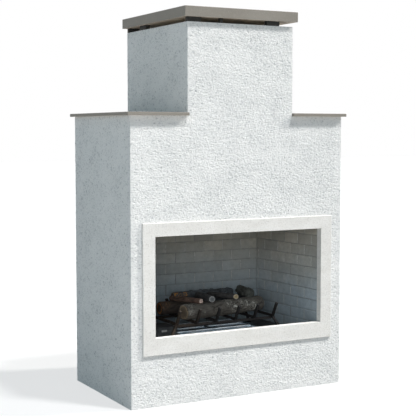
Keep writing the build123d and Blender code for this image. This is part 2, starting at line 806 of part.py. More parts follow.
# Valve block: the gas comes up through the hearth and leaves to the right
valve_front_y = burner_front_y - valve_length * 3 / 4
valve_base = hearth_z + valve_foot
knob_z = hearth_z + knob_axis_height
cover_front_y = valve_front_y - valve_front_gap
with BuildPart() as gas_valve:
    with BuildSketch(Plane.XY.offset(valve_base)):
        with Locations((valve_x, valve_front_y + valve_length / 2)):
            RectangleRounded(valve_width, valve_length, valve_foot)
    extrude(amount=valve_height)
    with BuildSketch(Plane.XY.offset(hearth_z)):
        for foot_y in (valve_front_y + valve_foot, valve_front_y + valve_length - valve_foot):
            with Locations((valve_x, foot_y)):
                Rectangle(valve_width, 2 * valve_foot)
    extrude(amount=valve_foot)
    with BuildSketch(at_front(valve_front_y)):
        with Locations((valve_x, knob_z)):
            Circle(stem_radius + 2 * valve_foot)
    extrude(amount=valve_foot)
    with BuildSketch(at_front(valve_front_y - valve_foot)):
        with Locations((valve_x, knob_z)):
            Circle(stem_radius + running)
    extrude(amount=-(stem_seat_depth + valve_foot), mode=Mode.SUBTRACT)
finish(gas_valve.part, "gas_valve")

# Stem: a round pin that turns in the valve, flatted where the knob slides on it
knob_back_y = cover_front_y - knob_gap
stem_front_y = knob_back_y - knob_bore_depth + knob_travel + fit
flat_back_y = knob_back_y + knob_travel + fit
stem_back_y = valve_front_y + stem_seat_depth - fit
with BuildPart() as valve_stem:
    with BuildSketch(at_front(stem_back_y)):
        with Locations((valve_x, knob_z)):
            Circle(stem_radius)
    extrude(amount=stem_back_y - stem_front_y)
    with BuildSketch(at_front(flat_back_y)):
        with Locations((valve_x, knob_z + stem_flat + stem_radius / 2)):
            Rectangle(2 * stem_radius, stem_radius)
    extrude(amount=flat_back_y - stem_front_y, mode=Mode.SUBTRACT)
finish(valve_stem.part, "valve_stem")

# Knob: a skirted disc with a grip bar across its face
skirt_length = knob_length / 3
with BuildPart() as control_knob:
    with BuildSketch(at_front(knob_back_y)):
        with Locations((valve_x, knob_z)):
            Circle(knob_radius)
    extrude(amount=skirt_length, taper=10)
    with BuildSketch(at_front(knob_back_y - skirt_length)):
        with Locations((valve_x, knob_z)):
            SlotOverall(2 * knob_radius * 4 / 5, knob_grip_width, rotation=90)
    extrude(amount=knob_length - skirt_length)
    with BuildSketch(at_front(knob_back_y)):
        with Locations((valve_x, knob_z)):
            Circle(stem_radius + running)
        with Locations((valve_x, knob_z + stem_flat + running + stem_radius / 2)):
            Rectangle(2 * stem_radius + 2 * running, stem_radius, mode=Mode.SUBTRACT)
    extrude(amount=knob_bore_depth, mode=Mode.SUBTRACT)
finish(control_knob.part, "control_knob")

# Igniter: a barrel behind the cover that the push button slides into
button_x = valve_x + button_offset
button_bore = igniter_length * 2 / 3
with BuildPart() as igniter_body:
    with BuildSketch(at_front(cover_front_y + cover_sheet + fit)):
        with Locations((button_x, knob_z)):
            Circle(igniter_radius)
    extrude(amount=-igniter_length)
    with BuildSketch(at_front(cover_front_y + cover_sheet + fit)):
        with Locations((button_x, knob_z)):
            Circle(button_stalk_radius + running)
    extrude(amount=-button_bore, mode=Mode.SUBTRACT)
finish(igniter_body.part, "igniter_body")

button_back_y = cover_front_y - button_travel - fit
stalk_end_y = cover_front_y + cover_sheet + button_bore - button_travel - fit
with BuildPart() as igniter_button:
    with BuildSketch(at_front(button_back_y)):
        with Locations((button_x, knob_z)):
            Circle(button_radius)
    extrude(amount=button_cap_length)
    fillet(igniter_button.edges().group_by(Axis.Y)[0], radius=button_cap_length / 4)
    with BuildSketch(at_front(stalk_end_y)):
        with Locations((button_x, knob_z)):
            Circle(button_stalk_radius)
    extrude(amount=stalk_end_y - button_back_y)
finish(igniter_button.part, "igniter_button")

# Valve cover: folded black sheet, open underneath and behind
cover_left_x = valve_x - cover_width / 2
cover_back_y = cover_front_y + cover_depth
cover_top = hearth_z + cover_height


def cover_profile(inset):
    """Side outline of the cover, drawn in by inset on the front and the top."""
    top = cover_top - inset
    front = cover_front_y + inset
    return [
        (front, hearth_z),
        (front, top - cover_bevel),
        (front + cover_bevel, top),
        (cover_back_y + inset, top),
        (cover_back_y + inset, hearth_z),
    ]


with BuildPart() as valve_cover:
    with BuildSketch(Plane.YZ.offset(cover_left_x)):
        Polygon(*cover_profile(0), align=None)
    extrude(amount=cover_width)
    with BuildSketch(Plane.YZ.offset(cover_left_x + cover_sheet)):
        Polygon(*cover_profile(cover_sheet), align=None)
    extrude(amount=cover_width - 2 * cover_sheet, mode=Mode.SUBTRACT)
    with BuildSketch(at_front(cover_front_y + cover_sheet)):
        with Locations((valve_x, knob_z)):
            Circle(stem_radius + 2 * cover_sheet)
        with Locations((button_x, knob_z)):
            Circle(button_stalk_radius + fit)
    extrude(amount=cover_sheet, mode=Mode.SUBTRACT)
    with BuildSketch(Plane.YZ.offset(cover_left_x + cover_width - cover_sheet)):
        with Locations((burner_front_y, burner_z)):
            Circle(feed_radius + 2 * cover_sheet)
    extrude(amount=cover_sheet, mode=Mode.SUBTRACT)
finish(valve_cover.part, "valve_cover")

# Feed: the mixer tube from the valve to the front burner tube, with a nut at its valve end
valve_right_x = valve_x + valve_width / 2
burner_left_x = -burner_tube_length / 2
with BuildPart() as burner_feed:
    with BuildSketch(Plane.YZ.offset(valve_right_x)):
        with Locations((burner_front_y, burner_z)):
            RegularPolygon(feed_hex / 2, 6)
    extrude(amount=feed_nut_length)
    with BuildSketch(Plane.YZ.offset(valve_right_x)):
        with Locations((burner_front_y, burner_z)):
            Circle(feed_radius)
    extrude(amount=burner_left_x - valve_right_x)
finish(burner_feed.part, "burner_feed")

# Pilot: a small hooded jet with its spark rod and flame sensor, between the tubes
pilot_x = -tray_width / 2 + pilot_from_left + pilot_stand_width / 2
pilot_y = burner_front_y + burner_tube_spacing / 2
pilot_z = hearth_z + tray_sheet
with BuildPart() as pilot_burner:
    with BuildSketch(Plane.XY.offset(pilot_z)):
        with Locations((pilot_x, pilot_y)):
            Rectangle(pilot_stand_width, pilot_hood_width)
    extrude(amount=pilot_base_sheet)
    with BuildSketch(Plane.XY.offset(pilot_z + pilot_base_sheet)):
        with Locations((pilot_x, pilot_y)):
            Circle(pilot_hood_width / 4)
    extrude(amount=pilot_hood_height)
    for rod_way in (-1, 1):
        with BuildSketch(Plane.XY.offset(pilot_z + pilot_base_sheet)):
            with Locations((pilot_x + rod_way * pilot_stand_width / 3, pilot_y)):
                Circle(pilot_rod_radius)
        extrude(amount=pilot_hood_height + pilot_rod_radius * (2 + rod_way))
finish(pilot_burner.part, "pilot_burner")

# Gas line: along under the firebox, then up into the valve
shutoff_y = rear_y - shutoff_setback
line_start_y = shutoff_y - shutoff_length / 2
with BuildPart() as supply_pipe:
    with BuildLine() as pipe_route:
        FilletPolyline(
            (valve_x, line_start_y, pipe_height),
            (valve_x, pipe_y, pipe_height),
            (valve_x, pipe_y, valve_base),
            radius=pipe_bend_radius,
        )
    with BuildSketch(at_front(line_start_y)):
        with Locations((valve_x, pipe_height)):
            Circle(pipe_radius)
            Circle(pipe_radius - pipe_wall, mode=Mode.SUBTRACT)
    sweep(path=pipe_route.line)
finish(supply_pipe.part, "supply_pipe")

# Shut-off: a ball valve body with hex ends and an upright boss for the lever
with BuildPart() as shutoff_valve:
    with BuildSketch(at_front(shutoff_y + shutoff_length / 2)):
        with Locations((valve_x, pipe_height)):
            Circle(shutoff_core_radius)
    extrude(amount=shutoff_length)
    for end_y in (shutoff_y + shutoff_length / 2, shutoff_y - shutoff_length / 2 + shutoff_hex_length):
        with BuildSketch(at_front(end_y)):
            with Locations((valve_x, pipe_height)):
                RegularPolygon(shutoff_hex / 2, 6)
        extrude(amount=shutoff_hex_length)
    with BuildSketch(Plane.XY.offset(pipe_height)):
        with Locations((valve_x, shutoff_y)):
            Circle(shutoff_boss_radius)
    extrude(amount=shutoff_boss_height)
    with BuildSketch(Plane.XY.offset(pipe_height)):
        with Locations((valve_x, shutoff_y)):
            Circle(lever_spindle_radius + running)
    extrude(amount=shutoff_boss_height, mode=Mode.SUBTRACT)
finish(shutoff_valve.part, "shutoff_valve")

boss_top = pipe_height + shutoff_boss_height
with BuildPart() as shutoff_lever:
    with BuildSketch(Plane.XY.offset(pipe_height + fit)):
        with Locations((valve_x, shutoff_y)):
            Circle(lever_spindle_radius)
    extrude(amount=shutoff_boss_height + lever_lift)
    with BuildSketch(Plane.XY.offset(boss_top + lever_lift)):
        with Locations((valve_x + lever_length / 2, shutoff_y)):
            SlotCenterToCenter(lever_length, lever_width)
    extrude(amount=lever_thickness)
finish(shutoff_lever.part, "shutoff_lever")

# Inlet: a nipple through the back, with a washer on the stucco
inlet_start_y = shutoff_y + shutoff_length / 2
inlet_end_y = rear_y + nipple_projection
with BuildPart() as inlet_nipple:
    with BuildSketch(at_front(inlet_end_y)):
        with Locations((valve_x, pipe_height)):
            Circle(pipe_radius)
    extrude(amount=inlet_end_y - inlet_start_y)
    with BuildSketch(at_front(rear_y + nipple_washer_thickness)):
        with Locations((valve_x, pipe_height)):
            Circle(nipple_washer_radius)
    extrude(amount=nipple_washer_thickness)
    with BuildSketch(at_front(inlet_end_y)):
        with Locations((valve_x, pipe_height)):
            Circle(pipe_radius - pipe_wall)
    extrude(amount=inlet_end_y - inlet_start_y, mode=Mode.SUBTRACT)
finish(inlet_nipple.part, "inlet_nipple")

# Door frame: a flange on the stucco, a return into the opening and a stop lip
access_mid = access_sill + access_height / 2
clear_width = access_width - 2 * fit - 2 * door_sheet
clear_height = access_height - 2 * fit - 2 * door_sheet
flange_y = rear_y + door_sheet
hinge_x = clear_width / 2
hinge_y = flange_y + hinge_barrel_radius
hinge_rows = [access_sill + hinge_inset, access_sill + access_height - hinge_inset]
knuckle = hinge_length / 3
with BuildPart() as door_frame:
    with BuildSketch(at_front(flange_y)):
        with Locations((0, access_mid)):
            Rectangle(access_width + 2 * door_flange, access_height + 2 * door_flange)
    extrude(amount=door_sheet)
    with BuildSketch(at_front(rear_y)):
        with Locations((0, access_mid)):
            Rectangle(access_width - 2 * fit, access_height - 2 * fit)
    extrude(amount=door_return)
    with BuildSketch(at_front(flange_y)):
        with Locations((0, access_mid)):
            Rectangle(clear_width, clear_height)
    extrude(amount=door_return, mode=Mode.SUBTRACT)
    with BuildSketch(at_front(flange_y)):
        with Locations((0, access_mid)):
            Rectangle(clear_width - 2 * door_lip, clear_height - 2 * door_lip)
    extrude(amount=door_sheet + door_return, mode=Mode.SUBTRACT)
    for row_z in hinge_rows:
        for way in (-1, 1):
            with BuildSketch(Plane.XY.offset(row_z + way * knuckle - knuckle / 2 + running)):
                with Locations((hinge_x, hinge_y)):
                    Circle(hinge_barrel_radius)
                with Locations((hinge_x + hinge_leaf_width / 2, flange_y + door_sheet / 2)):
                    Rectangle(hinge_leaf_width, door_sheet)
            extrude(amount=knuckle - 2 * running)
            with BuildSketch(Plane.XY.offset(row_z + way * knuckle - knuckle / 2)):
                with Locations((hinge_x, hinge_y)):
                    Circle(hinge_pin_radius)
            extrude(amount=knuckle, mode=Mode.SUBTRACT)
finish(door_frame.part, "door_frame")

with BuildPart() as hinge_pins:
    for row_z in hinge_rows:
        with BuildSketch(Plane.XY.offset(row_z - hinge_length / 2)):
            with Locations((hinge_x, hinge_y)):
                Circle(hinge_pin_radius)
        extrude(amount=hinge_length)
finish(hinge_pins.part, "hinge_pins")

# Access door: a folded tray with pressed louvres and its own hinge knuckles
door_width = clear_width - 2 * door_gap
door_height = clear_height - 2 * door_gap
latch_x = -door_width / 2 + latch_inset
louvre_mid_x = latch_inset / 2
louvre_base = access_mid - (louvre_count - 1) * louvre_pitch / 2
with BuildPart() as access_door:
    with BuildSketch(at_front(flange_y)):
        with Locations((0, access_mid)):
            Rectangle(door_width, door_height)
    extrude(amount=door_pan_depth)
    with BuildSketch(at_front(flange_y - door_sheet)):
        with Locations((0, access_mid)):
            Rectangle(door_width - 2 * door_sheet, door_height - 2 * door_sheet)
    extrude(amount=door_pan_depth, mode=Mode.SUBTRACT)
    for row in range(louvre_count):
        slot_z = louvre_base + row * louvre_pitch
        with BuildSketch(at_front(flange_y)):
            with Locations((louvre_mid_x, slot_z)):
                Rectangle(louvre_length, louvre_slot)
        extrude(amount=door_sheet, mode=Mode.SUBTRACT)
        with BuildSketch(Plane.YZ.offset(louvre_mid_x - louvre_length / 2)):
            Polygon(
                (flange_y, slot_z + louvre_slot / 2 + door_sheet),
                (flange_y + louvre_hood, slot_z - louvre_slot / 2 + door_sheet),
                (flange_y + louvre_hood, slot_z - louvre_slot / 2),
                (flange_y, slot_z + louvre_slot / 2),
                align=None,
            )
        extrude(amount=louvre_length)
    for row_z in hinge_rows:
        with BuildSketch(Plane.XY.offset(row_z - knuckle / 2 + running)):
            with Locations((hinge_x, hinge_y)):
                Circle(hinge_barrel_radius)
            with Locations((hinge_x - hinge_leaf_width / 2, flange_y + door_sheet / 2)):
                Rectangle(hinge_leaf_width, door_sheet)
        extrude(amount=knuckle - 2 * running)
        with BuildSketch(Plane.XY.offset(row_z - knuckle / 2)):
            with Locations((hinge_x, hinge_y)):
                Circle(hinge_pin_radius + running)
        extrude(amount=knuckle, mode=Mode.SUBTRACT)
    with BuildSketch(at_front(flange_y)):
        with Locations((latch_x, access_mid)):
            Circle(latch_spindle_radius + running)
    extrude(amount=door_sheet, mode=Mode.SUBTRACT)
finish(access_door.part, "access_door")

# Latch: a winged knob outside, a spindle through the door and a cam behind the lip
lip_back_y = rear_y - door_return
cam_y = lip_back_y - fit
cam_length = latch_inset + door_gap - fit
with BuildPart() as door_latch:
    with BuildSketch(at_front(flange_y + fit)):
        with Locations((latch_x, access_mid)):
            Circle(latch_bezel_radius)
    extrude(amount=-door_sheet)
    with BuildSketch(at_front(flange_y + fit + door_sheet)):
        with Locations((latch_x, access_mid)):
            SlotOverall(latch_wing_length, latch_wing_width, rotation=90)
    extrude(amount=-latch_wing_height)
    with BuildSketch(at_front(flange_y + fit)):
        with Locations((latch_x, access_mid)):
            Circle(latch_spindle_radius)
    extrude(amount=flange_y + fit - cam_y + latch_cam_thickness)
    with BuildSketch(at_front(cam_y)):
        with Locations((latch_x, access_mid + cam_length / 2 - latch_cam_width / 4)):
            Rectangle(latch_cam_width, cam_length)
    extrude(amount=latch_cam_thickness)
finish(door_latch.part, "door_latch")

# Cast ceramic logs: each is lofted through uneven rounds along a slightly bent line
log_seat = grate_z + half_bar + log_clearance
station_shares = (0.0, 0.03, 0.22, 0.42, 0.6, 0.8, 0.97, 1.0)
wide_shares = (0.92, 0.97, 1.0, 0.96, 0.98, 0.95, 0.97, 0.9)
high_shares = (0.92, 0.97, 0.98, 1.0, 0.96, 0.97, 0.95, 0.9)
stub_share = 0.4


def make_log(name, radius, start, end, bow, stubs):
    """One log from start to end, bowed sideways, with branch stubs as (share, turn, rise)."""
    run = Vector(*end) - Vector(*start)
    along = run.normalized()
    sideways = along.cross(Vector(0, 0, 1)).normalized()
    upward = sideways.cross(along)
    with BuildPart() as log:
        for share, wide, high in zip(station_shares, wide_shares, high_shares):
            centre = Vector(*start) + run * share + sideways * (bow * sin(pi * share))
            with BuildSketch(Plane(origin=centre, x_dir=sideways, z_dir=along)):
                Ellipse(radius * wide, radius * high)
        loft(ruled=True)
        for share, turn, rise in stubs:
            centre = Vector(*start) + run * share + sideways * (bow * sin(pi * share))
            outward = sideways * cos(radians(turn)) + upward * sin(radians(turn))
            with BuildSketch(Plane(origin=centre, x_dir=along, z_dir=outward)):
                Circle(radius * stub_share)
            extrude(amount=radius * (1 + rise), taper=4)
    finish(log.part, name)


def on_grate(x_share, y_share, height):
    """A place over the grate: shares of its half width and of its depth, and a height."""
    return (x_share * grate_width / 2, grate_front_y + y_share * grate_depth, height)


front_log_radius = grate_depth * front_log_share
rear_left_radius = grate_depth * rear_left_share
rear_right_radius = grate_depth * rear_right_share
back_log_radius = grate_depth * back_log_share
gnarled_radius = grate_depth * gnarled_share
cross_left_radius = grate_depth * cross_left_share
cross_middle_radius = grate_depth * cross_middle_share
cross_right_radius = grate_depth * cross_right_share
bridge_drop = grate_depth * bridge_drop_share
log_bow = grate_depth * log_bow_share
front_z = log_seat + front_log_radius
rear_left_z = log_seat + rear_left_radius
rear_right_z = log_seat + rear_right_radius
back_z = rear_left_z + grate_depth * back_lift_share
bridge_z = log_seat + 2 * front_log_radius + log_clearance
gnarled_z = bridge_z + gnarled_radius * gnarled_seat_share
cross_left_z = bridge_z + cross_left_radius * cross_left_seat_share
cross_middle_z = bridge_z + cross_middle_radius * cross_middle_seat_share
cross_right_z = bridge_z + cross_right_radius * cross_right_seat_share
make_log(
    "front_log",
    front_log_radius,
    on_grate(-0.735, 0.232, front_z),
    on_grate(1.055, 0.508, front_z),
    log_bow,
    [(0.46, 25, stub_rise_share), (0.72, 20, stub_rise_share)],
)
make_log(
    "rear_left_log",
    rear_left_radius,
    on_grate(-0.92, 0.81, rear_left_z),
    on_grate(-0.09, 0.83, rear_left_z),
    0,
    [(0.62, 118, back_stub_share)],
)
make_log(
    "rear_right_log",
    rear_right_radius,
    on_grate(0.03, 0.865, rear_right_z),
    on_grate(0.9, 0.865, rear_right_z),
    0,
    [(0.8, 20, stub_rise_share)],
)
make_log(
    "back_log",
    back_log_radius,
    on_grate(-0.56, 0.984, back_z),
    on_grate(0.72, 0.96, back_z),
    -log_bow,
    [(0.72, 40, stub_rise_share)],
)
make_log(
    "gnarled_log",
    gnarled_radius,
    on_grate(0.81, 0.444, gnarled_z),
    on_grate(0.9, 0.873, gnarled_z - bridge_drop * 2 / 3),
    0,
    [(0.3, 60, stub_rise_share), (0.55, 150, stub_rise_share), (0.7, 20, stub_rise_share)],
)
make_log(
    "cross_left_log",
    cross_left_radius,
    on_grate(-0.41, 0.181, cross_left_z),
    on_grate(-0.69, 0.81, cross_left_z - bridge_drop),
    0,
    [(0.6, 80, stub_rise_share)],
)
make_log(
    "cross_middle_log",
    cross_middle_radius,
    on_grate(-0.18, 0.181, cross_middle_z),
    on_grate(-0.11, 0.83, cross_middle_z - bridge_drop),
    0,
    [],
)
make_log(
    "cross_right_log",
    cross_right_radius,
    on_grate(0.414, 0.327, cross_right_z),
    on_grate(0.12, 0.85, cross_right_z - bridge_drop / 2),
    0,
    [(0.5, 100, stub_rise_share)],
)
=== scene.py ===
import bmesh
import bpy
import math
import random
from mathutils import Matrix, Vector, noise


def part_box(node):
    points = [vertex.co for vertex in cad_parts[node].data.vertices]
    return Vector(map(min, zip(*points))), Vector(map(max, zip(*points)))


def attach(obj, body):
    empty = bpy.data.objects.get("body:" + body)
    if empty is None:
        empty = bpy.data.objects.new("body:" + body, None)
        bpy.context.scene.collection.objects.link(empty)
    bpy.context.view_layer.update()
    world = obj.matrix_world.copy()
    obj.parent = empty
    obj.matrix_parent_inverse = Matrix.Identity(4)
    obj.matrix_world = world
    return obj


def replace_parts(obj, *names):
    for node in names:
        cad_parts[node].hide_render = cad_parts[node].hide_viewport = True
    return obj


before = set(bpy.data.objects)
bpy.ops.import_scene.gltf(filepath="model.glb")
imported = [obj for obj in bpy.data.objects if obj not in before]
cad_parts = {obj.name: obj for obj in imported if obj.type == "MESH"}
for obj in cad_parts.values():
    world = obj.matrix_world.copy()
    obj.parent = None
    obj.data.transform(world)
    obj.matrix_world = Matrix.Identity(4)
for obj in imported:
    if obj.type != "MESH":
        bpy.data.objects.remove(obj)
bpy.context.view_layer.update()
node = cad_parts


# Welded frame: square galvanised tube under everything, ground rings joined by
# posts, with bearers for the firebox and a ring for the chimney. Zinc crystals
# of slightly different greys cover it, and the cut ends were sprayed over.
def surface(name, colour, roughness, metallic=0.0, **sockets):
    """A new finish with one principled shader, whose plain sockets are set here."""
    made = bpy.data.materials.new(name)
    made.use_nodes = True
    shader = made.node_tree.nodes["Principled BSDF"]
    shader.inputs["Base Color"].default_value = (*colour, 1.0)
    shader.inputs["Roughness"].default_value = roughness
    shader.inputs["Metallic"].default_value = metallic
    for socket, value in sockets.items():
        shader.inputs[socket.replace("_", " ")].default_value = value
    return made


def shader_of(made):
    """The one shader of a finish."""
    return made.node_tree.nodes["Principled BSDF"]


def place(made, stretch=(1.0, 1.0, 1.0)):
    """Where a point lies on the object, in metres, stretched first."""
    nodes, links = made.node_tree.nodes, made.node_tree.links
    where = nodes.new("ShaderNodeTexCoord")
    mapped = nodes.new("ShaderNodeMapping")
    mapped.inputs["Scale"].default_value = stretch
    links.new(where.outputs["Object"], mapped.inputs["Vector"])
    return mapped.outputs["Vector"]


def mottle(made, where, scale, detail=3.0, coarse=0.5, warp=0.0):
    """Cloudy variation, as of dust, scale or a hand-worked surface."""
    cloud = made.node_tree.nodes.new("ShaderNodeTexNoise")
    cloud.inputs["Scale"].default_value = scale
    cloud.inputs["Detail"].default_value = detail
    cloud.inputs["Roughness"].default_value = coarse
    cloud.inputs["Distortion"].default_value = warp
    made.node_tree.links.new(where, cloud.inputs["Vector"])
    return cloud.outputs["Fac"]


def cells(made, where, scale, output="Distance"):
    """Grain by grain variation, as of sand, crystals or pits."""
    grain = made.node_tree.nodes.new("ShaderNodeTexVoronoi")
    grain.inputs["Scale"].default_value = scale
    made.node_tree.links.new(where, grain.inputs["Vector"])
    return grain.outputs[output]


def ramp(made, value, *stops):
    """Colours along a value: stops are (place, (r, g, b))."""
    scale = made.node_tree.nodes.new("ShaderNodeValToRGB")
    marks = scale.color_ramp.elements
    while len(marks) < len(stops):
        marks.new(0.5)
    for mark, (at, colour) in zip(marks, stops):
        mark.position = at
        mark.color = (*colour, 1.0)
    made.node_tree.links.new(value, scale.inputs["Fac"])
    return scale.outputs["Color"]


def span(made, value, low, high, start=0.0, end=1.0):
    """The value stretched from start..end to low..high."""
    reach = made.node_tree.nodes.new("ShaderNodeMapRange")
    reach.inputs["From Min"].default_value = start
    reach.inputs["From Max"].default_value = end
    reach.inputs["To Min"].default_value = low
    reach.inputs["To Max"].default_value = high
    made.node_tree.links.new(value, reach.inputs["Value"])
    return reach.outputs["Result"]


def relief(made, height, depth, strength=1.0, under=None):
    """A bump of the given depth in metres, over an earlier one."""
    bump = made.node_tree.nodes.new("ShaderNodeBump")
    bump.inputs["Strength"].default_value = strength
    bump.inputs["Distance"].default_value = depth
    made.node_tree.links.new(height, bump.inputs["Height"])
    if under is not None:
        made.node_tree.links.new(under, bump.inputs["Normal"])
    made.node_tree.links.new(bump.outputs["Normal"], shader_of(made).inputs["Normal"])
    return bump.outputs["Normal"]


def wire(made, value, socket="Base Color"):
    """Lets a value vary a socket of the shader, its colour if none is named."""
    made.node_tree.links.new(value, shader_of(made).inputs[socket])


def paint(made, value, *stops):
    """Lets a value vary the colour from stop to stop."""
    wire(made, ramp(made, value, *stops))


def dress(made, *names):
    """Gives carried-over solids their finish."""
    for name in names:
        materials = node[name].data.materials
        if not len(materials):
            materials.append(made)
        for index in range(len(materials)):
            materials[index] = made


zinc = surface("zinc_spangle", (0.55, 0.57, 0.58), 0.42, 0.9)
crystals = cells(zinc, place(zinc), 120.0, output="Color")
spangle = zinc.node_tree.nodes.new("ShaderNodeSeparateColor")
zinc.node_tree.links.new(crystals, spangle.inputs["Color"])
paint(zinc, spangle.outputs["Red"], (0.0, (0.40, 0.42, 0.43)), (1.0, (0.66, 0.68, 0.69)))
wire(zinc, span(zinc, spangle.outputs["Green"], 0.32, 0.52), "Roughness")
relief(zinc, mottle(zinc, place(zinc), 300.0), 0.0002)
dress(
    zinc,
    "base_frame", "corner_posts", "bearers", "mid_rails", "rear_jamb_posts",
    "top_frame", "chimney_posts", "chimney_top_frame",
)

# Cement boards: grey fibre-reinforced sheets screwed to the frame under the
# stucco. Only their edges and inner faces are seen, through the access door.
def mixed(made, share, under, over):
    """Two colours, each a socket or an (r, g, b), mixed by a share."""
    mixer = made.node_tree.nodes.new("ShaderNodeMix")
    mixer.data_type = "RGBA"
    colours = [s for s in mixer.inputs if s.type == "RGBA"]
    for socket, value in zip((mixer.inputs["Factor"], *colours), (share, under, over)):
        if isinstance(value, tuple):
            socket.default_value = (*value, 1.0)
        else:
            made.node_tree.links.new(value, socket)
    return next(s for s in mixer.outputs if s.type == "RGBA")


board = surface("cement_board", (0.46, 0.46, 0.44), 0.9)
cloud = mottle(board, place(board), 14.0, 5.0)
fibres = mottle(board, place(board, (1.0, 1.0, 9.0)), 160.0, 4.0)
cured = ramp(board, cloud, (0.3, (0.40, 0.40, 0.39)), (0.7, (0.52, 0.52, 0.50)))
hairy = mixed(board, span(board, fibres, 0.0, 0.35, 0.55, 0.8), cured, (0.62, 0.61, 0.57))
wire(board, hairy)
relief(board, fibres, 0.0006)
dress(
    board,
    "front_lower_board", "front_side_boards", "front_upper_board", "back_lower_board",
    "back_side_boards", "back_upper_board", "side_boards", "shoulder_boards",
    "chimney_side_boards", "chimney_face_boards",
)

# Stucco: a hard base coat over the boards with a hand-thrown texture coat on
# it, off-white, rough as orange peel. The texture coat is a skin of its own,
# raised up to 2 mm, which dips into the base coat at every edge it ends on.
SKIN_STEP, SKIN_RAISE, SKIN_LUMPS, SKIN_TUCK = 0.008, 0.0011, 0.0008, -0.0006
SKIN_CREASE = 1.0
body_x, body_y = 0.618, 0.361
stack_x, shoulder_z, ledge_top_z, stack_top = 0.306, 1.444, 1.457, 1.906
band_x, band_low, band_high = 0.547, 0.270, 0.908
hatch_x, hatch_low, hatch_high = 0.2735, 0.0465, 0.3935


def both(made, one, other, how="ADD"):
    """Two values or numbers put together. ABSOLUTE and SINE use the first alone."""
    sum_node = made.node_tree.nodes.new("ShaderNodeMath")
    sum_node.operation = how
    for socket, value in zip(sum_node.inputs, (one, other)):
        if isinstance(value, (int, float)):
            socket.default_value = value
        else:
            made.node_tree.links.new(value, socket)
    return sum_node.outputs["Value"]


stucco = surface("stucco", (0.82, 0.82, 0.805), 0.93)
thrown = mottle(stucco, place(stucco, (0.65, 0.65, 1.0)), 105.0, 4.0, 0.65, 0.4)
dabs = mottle(stucco, place(stucco, (0.65, 0.65, 1.0)), 150.0, 3.0, 0.65, 0.4)
sand = mottle(stucco, place(stucco), 520.0, 3.0, 0.6)
patches = mottle(stucco, place(stucco, (0.7, 0.7, 1.0)), 9.0, 5.0, 0.6)
pale = ramp(stucco, patches, (0.35, (0.80, 0.803, 0.795)), (0.65, (0.85, 0.848, 0.838)))
# Painted shade: dark bluish-grey flecks, in patches, stand for the shadows in the hollows of the thrown
# texture.
shade_patchiness = span(stucco, patches, -0.025, 0.02, 0.34, 0.62)
pitted = both(stucco, mottle(stucco, place(stucco, (0.65, 0.65, 1.0)), 98.0, 3.0, 0.6, 0.5), shade_patchiness)
painted_fleck_shade = both(
    stucco,
    span(stucco, both(stucco, dabs, shade_patchiness), 0.46, 0.0, 0.29, 0.44),
    span(stucco, pitted, 0.50, 0.0, 0.32, 0.45),
)
wire(stucco, mixed(stucco, painted_fleck_shade, pale, (0.32, 0.335, 0.35)))
lumps = relief(stucco, thrown, 0.0056)
lumps = relief(stucco, dabs, 0.0044, 0.9, lumps)
relief(stucco, sand, 0.0006, 0.7, lumps)
dress(stucco, "stucco_coat")


def spread(*breaks):
    """Places from break to break, evenly and about one skin step apart."""
    places = [breaks[0]]
    for low, high in zip(breaks, breaks[1:]):
        count = max(1, round((high - low) / SKIN_STEP))
        places += [low + (high - low) * (k + 1) / count for k in range(count)]
    return places


def open_at(half, low, high):
    """A test for places beside the chimney or in an opening of the wall."""
    def test(x, z):
        beside_stack = z > shoulder_z and abs(x) > stack_x
        return beside_stack or (abs(x) < half and low < z < high)
    return test


def lay_wall(bm, across, up, point, hole=None):
    """A flat grid of quads, left open where hole(a, u) says so."""
    rows = [[bm.verts.new(point(a, u)) for a in across] for u in up]
    for j in range(len(up) - 1):
        for i in range(len(across) - 1):
            middle = ((across[i] + across[i + 1]) / 2, (up[j] + up[j + 1]) / 2)
            if hole and hole(*middle):
                continue
            bm.faces.new((rows[j][i], rows[j][i + 1], rows[j + 1][i + 1], rows[j + 1][i]))


skin = bmesh.new()
rows_up = spread(0.0, hatch_low, band_low, hatch_high, band_high, shoulder_z, ledge_top_z, stack_top)
front_across = spread(-body_x, -band_x, -stack_x, -hatch_x, hatch_x, stack_x, band_x, body_x)
side_across = spread(-body_y, body_y)
fire_opening, door_opening = open_at(band_x, band_low, band_high), open_at(hatch_x, hatch_low, hatch_high)
lay_wall(skin, front_across, rows_up, lambda a, u: (a, -body_y, u), fire_opening)
lay_wall(skin, front_across, rows_up, lambda a, u: (-a, body_y, u), door_opening)
body_rows = [z for z in rows_up if z <= shoulder_z + SKIN_STEP / 20]
stack_rows = [z for z in rows_up if z >= ledge_top_z - SKIN_STEP / 20]
lay_wall(skin, side_across, body_rows, lambda a, u: (body_x, a, u))
lay_wall(skin, side_across, body_rows, lambda a, u: (-body_x, -a, u))
lay_wall(skin, side_across, stack_rows, lambda a, u: (stack_x, a, u))
lay_wall(skin, side_across, stack_rows, lambda a, u: (-stack_x, -a, u))
bmesh.ops.remove_doubles(skin, verts=skin.verts, dist=SKIN_STEP / 50)
bmesh.ops.delete(skin, geom=[v for v in skin.verts if not v.link_faces], context="VERTS")
for edge in skin.edges:
    edge.smooth = not (edge.is_manifold and edge.calc_face_angle() > SKIN_CREASE)
moves = []
for vert in skin.verts:
    outward = sum((f.normal for f in vert.link_faces), Vector()).normalized()
    dabbed = Vector((vert.co.x * 26.0, vert.co.y * 26.0, vert.co.z * 46.0))
    ripple = noise.fractal(dabbed, 0.8, 2.1, 3) * SKIN_LUMPS
    trowel = noise.noise(vert.co * 7.0) * SKIN_LUMPS / 2
    lift = max(SKIN_RAISE + ripple + trowel, SKIN_RAISE / 4)
    if vert.is_boundary and vert.co.z > 0:
        lift = SKIN_TUCK
    moves.append((vert, outward * lift))
for vert, move in moves:
    vert.co += move
for face in skin.faces:
    face.smooth = True


